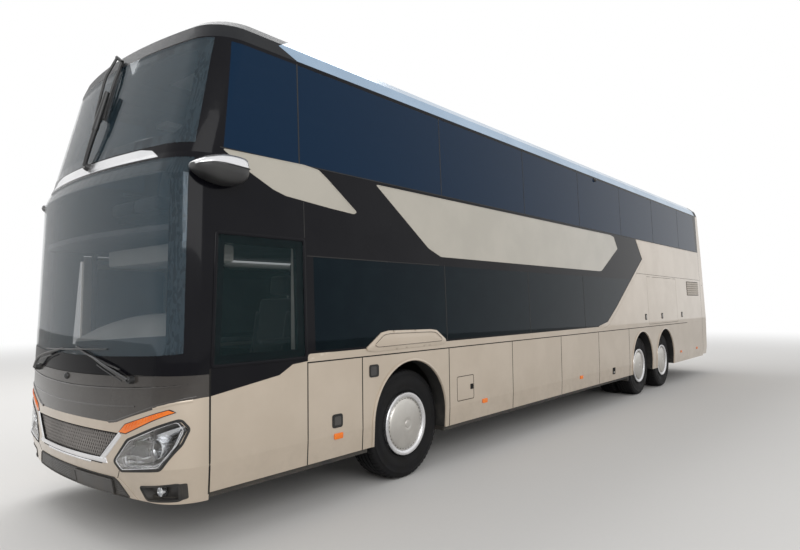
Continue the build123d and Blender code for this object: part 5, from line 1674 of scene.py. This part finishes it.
# Rear: lamps, reflectors, window frame, seams and the engine lid's vent and plate; y and height
rearShape = {
    "lamp": [(0.980, 0.760), (1.180, 0.760), (1.160, 1.560), (1.010, 1.560)],
    "lensY": 1.083,
    # height, look and radius of each round lens
    "lenses": ((0.84, 3, 0.062), (1.00, 0, 0.068), (1.16, 0, 0.068), (1.32, 2, 0.062), (1.46, 0, 0.052)),
    "reflector": [(0.90, 0.500), (1.06, 0.500), (1.06, 0.545), (0.90, 0.545)],
    "window": [(-0.935, 2.955), (0.935, 2.955), (0.885, 3.605), (-0.885, 3.605)],
    "stopLamp": [(-0.30, 2.84), (0.30, 2.84), (0.28, 2.875), (-0.28, 2.875)],
    "seams": (((-1.262, 2.05), (1.262, 2.05)), ((-1.262, 0.60), (-0.93, 0.60)), ((0.93, 0.60), (1.262, 0.60)),
              ((-0.955, 0.46), (-0.955, 2.05)), ((0.955, 0.46), (0.955, 2.05)),
              ((-1.21, 2.86), (1.21, 2.86))),
    # left, right, bottom and top
    "vent": (-0.72, 0.72, 1.42, 1.74),
    "louvres": 9,
    "louvreSection": ((-0.5, -0.2), (-0.5, 0.2), (-0.1, 1.0), (0.5, 0.9), (0.5, -0.2)),
    "handle": (-0.12, 0.12, 0.70, 0.745),
    "plate": (-0.26, 0.26, 0.86, 0.99),
    "plateFrame": (-0.29, 0.29, 0.83, 1.02),
}


def makeRearLamp(name, hand):
    bm = bmesh.new()
    outline = roundedOutline(flip(rearShape["lamp"], hand), 0.03)
    addPlate(bm, outline, onRear, 0.006, 0.030, 0.05)
    addBead(bm, outline, onRear, 0.014, 0.010, 0, True, 0.03, 1)
    for z, look, size in rearShape["lenses"]:
        spot = onRear(hand * rearShape["lensY"], z) - Vector((0.004, 0, 0))
        inner = size - 0.004
        ring = ((0, size + 0.006), (-0.010, size + 0.006), (-0.013, size), (-0.006, inner), (0, inner))
        lens = ((0, 0.0005), (0, inner), (-0.008, size - 0.006), (-0.013, size * 0.6), (-0.0145, 0.0005))
        addLathe(bm, ring, spot, "x", 36, 4)
        addLathe(bm, lens, spot, "x", 36, look)
    makePiece(f"{name}RearLamp", bm, ["redLens", "windowRubber", "orangeLens", "clearLens", "lampMirror"],
              "body", ["rear_lamps"] if hand > 0 else [], 35)
    bm = bmesh.new()
    reflector = roundedOutline(flip(rearShape["reflector"], hand), 0.01)
    addPlate(bm, reflector, onRear, 0.008, 0.010, 0.04, crown=0.002)
    makePiece(f"{name}RearReflector", bm, ["redLens"])


def makeRearLines():
    bm = bmesh.new()
    addBead(bm, roundedOutline(rearShape["window"], 0.07), onRear, 0.030, 0.006, 0, True, 0.05)
    addPlate(bm, roundedOutline(rearShape["stopLamp"], 0.01), onRear, 0.008, 0.010, 0.05, 1)
    makePiece("rearWindowSurround", bm, ["windowRubber", "redLens"])
    bm = bmesh.new()
    for line in rearShape["seams"]:
        addBead(bm, line, onRear, 0.009, 0.0024)
    makePiece("rearSeams", bm, ["seamShadow"])


def makeLidDetails():
    bm = bmesh.new()
    left, right, bottom, top = rearShape["vent"]
    addPlate(bm, rectangle(left, right, bottom, top, 0.03), onRear, 0.0012, 0.004, 0.08, 1)
    for number in range(rearShape["louvres"]):
        z = bottom + 0.03 + (top - bottom - 0.06) * number / (rearShape["louvres"] - 1)
        addBead(bm, [(left + 0.02, z), (right - 0.02, z)], onRear, 0.026, 0.0065, 0.001, spacing=0.1,
                section=rearShape["louvreSection"])
    addPlate(bm, rectangle(*rearShape["handle"], 0.012), onRear, 0.007, 0.014, 0.04, 2)
    addPlate(bm, rectangle(*rearShape["plate"], 0.012), onRear, 0.003, 0.008, 0.05, 3)
    addBead(bm, rectangle(*rearShape["plateFrame"], 0.02), onRear, 0.016, 0.003, 0, True, 0.05, 2)
    makePiece("engineLidDetails", bm, ["champagnePaint", "seamShadow", "windowRubber", "grillePlastic"],
              "engine_lid")


for name, hand in hands:
    makeRearLamp(name, hand)
makeRearLines()
makeLidDetails()
print("rear made")


# Luggage door locks ride their doors
for name, place in (("left", onLeft), ("right", onRight)):
    bm = bmesh.new()
    addLock(bm, doorLock, place, 0, 1)
    makePiece(f"{name}LuggageLock", bm, ["windowRubber", "lampHousing"], f"{name}_luggage_door")

# Passenger doors: rear edge, front edge and top of each; glass surround and handle
doors = {"front_door": (5.420, 6.400, 2.190), "middle_door": (-1.560, -0.600, 2.090)}
for name, (rear, front, top) in doors.items():
    bm = bmesh.new()
    surround = rectangle(rear + 0.055, front - 0.055, 1.145, top - 0.055, 0.045)
    addBead(bm, surround, onRight, 0.022, 0.004, 0, True, 0.05)
    addPlate(bm, rectangle(rear + 0.09, rear + 0.20, 0.98, 1.06, 0.015), onRight, 0.006, 0.008, 0.03)
    addPlate(bm, rectangle(rear + 0.105, rear + 0.185, 1.005, 1.025, 0.008), onRight, 0.016, 0.012, 0.03, 1)
    makePiece(f"{name}Details", bm, ["windowRubber", "satinSilver"], f"{name}_leaf")
print("doors dressed")


# Roof: two hatches, shallow ribs and the side cameras
roofShape = {
    "hatches": (3.6, -3.2),
    "hatchHalf": (0.42, 0.30),
    "ribs": (-0.36, -0.12, 0.12, 0.36),
    "ribRuns": ((-5.9, -3.75), (-2.65, 3.05), (4.15, 5.4)),
    "camera": (-0.50, 3.655),
    "cameraProfile": ((-0.01, 0.0005), (-0.01, 0.030), (0.018, 0.028), (0.030, 0.018), (0.034, 0.0005)),
}


def makeRoof():
    bm = bmesh.new()
    halfX, halfY = roofShape["hatchHalf"]
    for x in roofShape["hatches"]:
        outline = rectangle(x - halfX, x + halfX, -halfY, halfY, 0.07)
        addPlate(bm, outline, onRoof, -0.0002, 0.004, 0.1)
        addBead(bm, outline, onRoof, 0.03, 0.0004, -0.0006, True, 0.06, 1)
    for y in roofShape["ribs"]:
        for low, high in roofShape["ribRuns"]:
            addBead(bm, [(low, y), (high, y)], onRoof, 0.05, 0.0004, -0.0008, spacing=0.3)
    makePiece("roofDetails", bm, ["roofBlack", "windowRubber"])


def makeSideCamera(name, hand, place):
    bm = bmesh.new()
    spot = place(*roofShape["camera"])
    addLathe(bm, flip(roofShape["cameraProfile"], hand), spot, "y", 24)
    addBox(bm, spot - Vector((0.05, 0.010, 0.012)), spot + Vector((0.05, 0.010, 0.03)), 0.006)
    makePiece(f"{name}SideCamera", bm, ["wiperBlack"])


makeRoof()
makeSideCamera("left", 1, onLeft)
makeSideCamera("right", -1, onRight)
print("roof made")
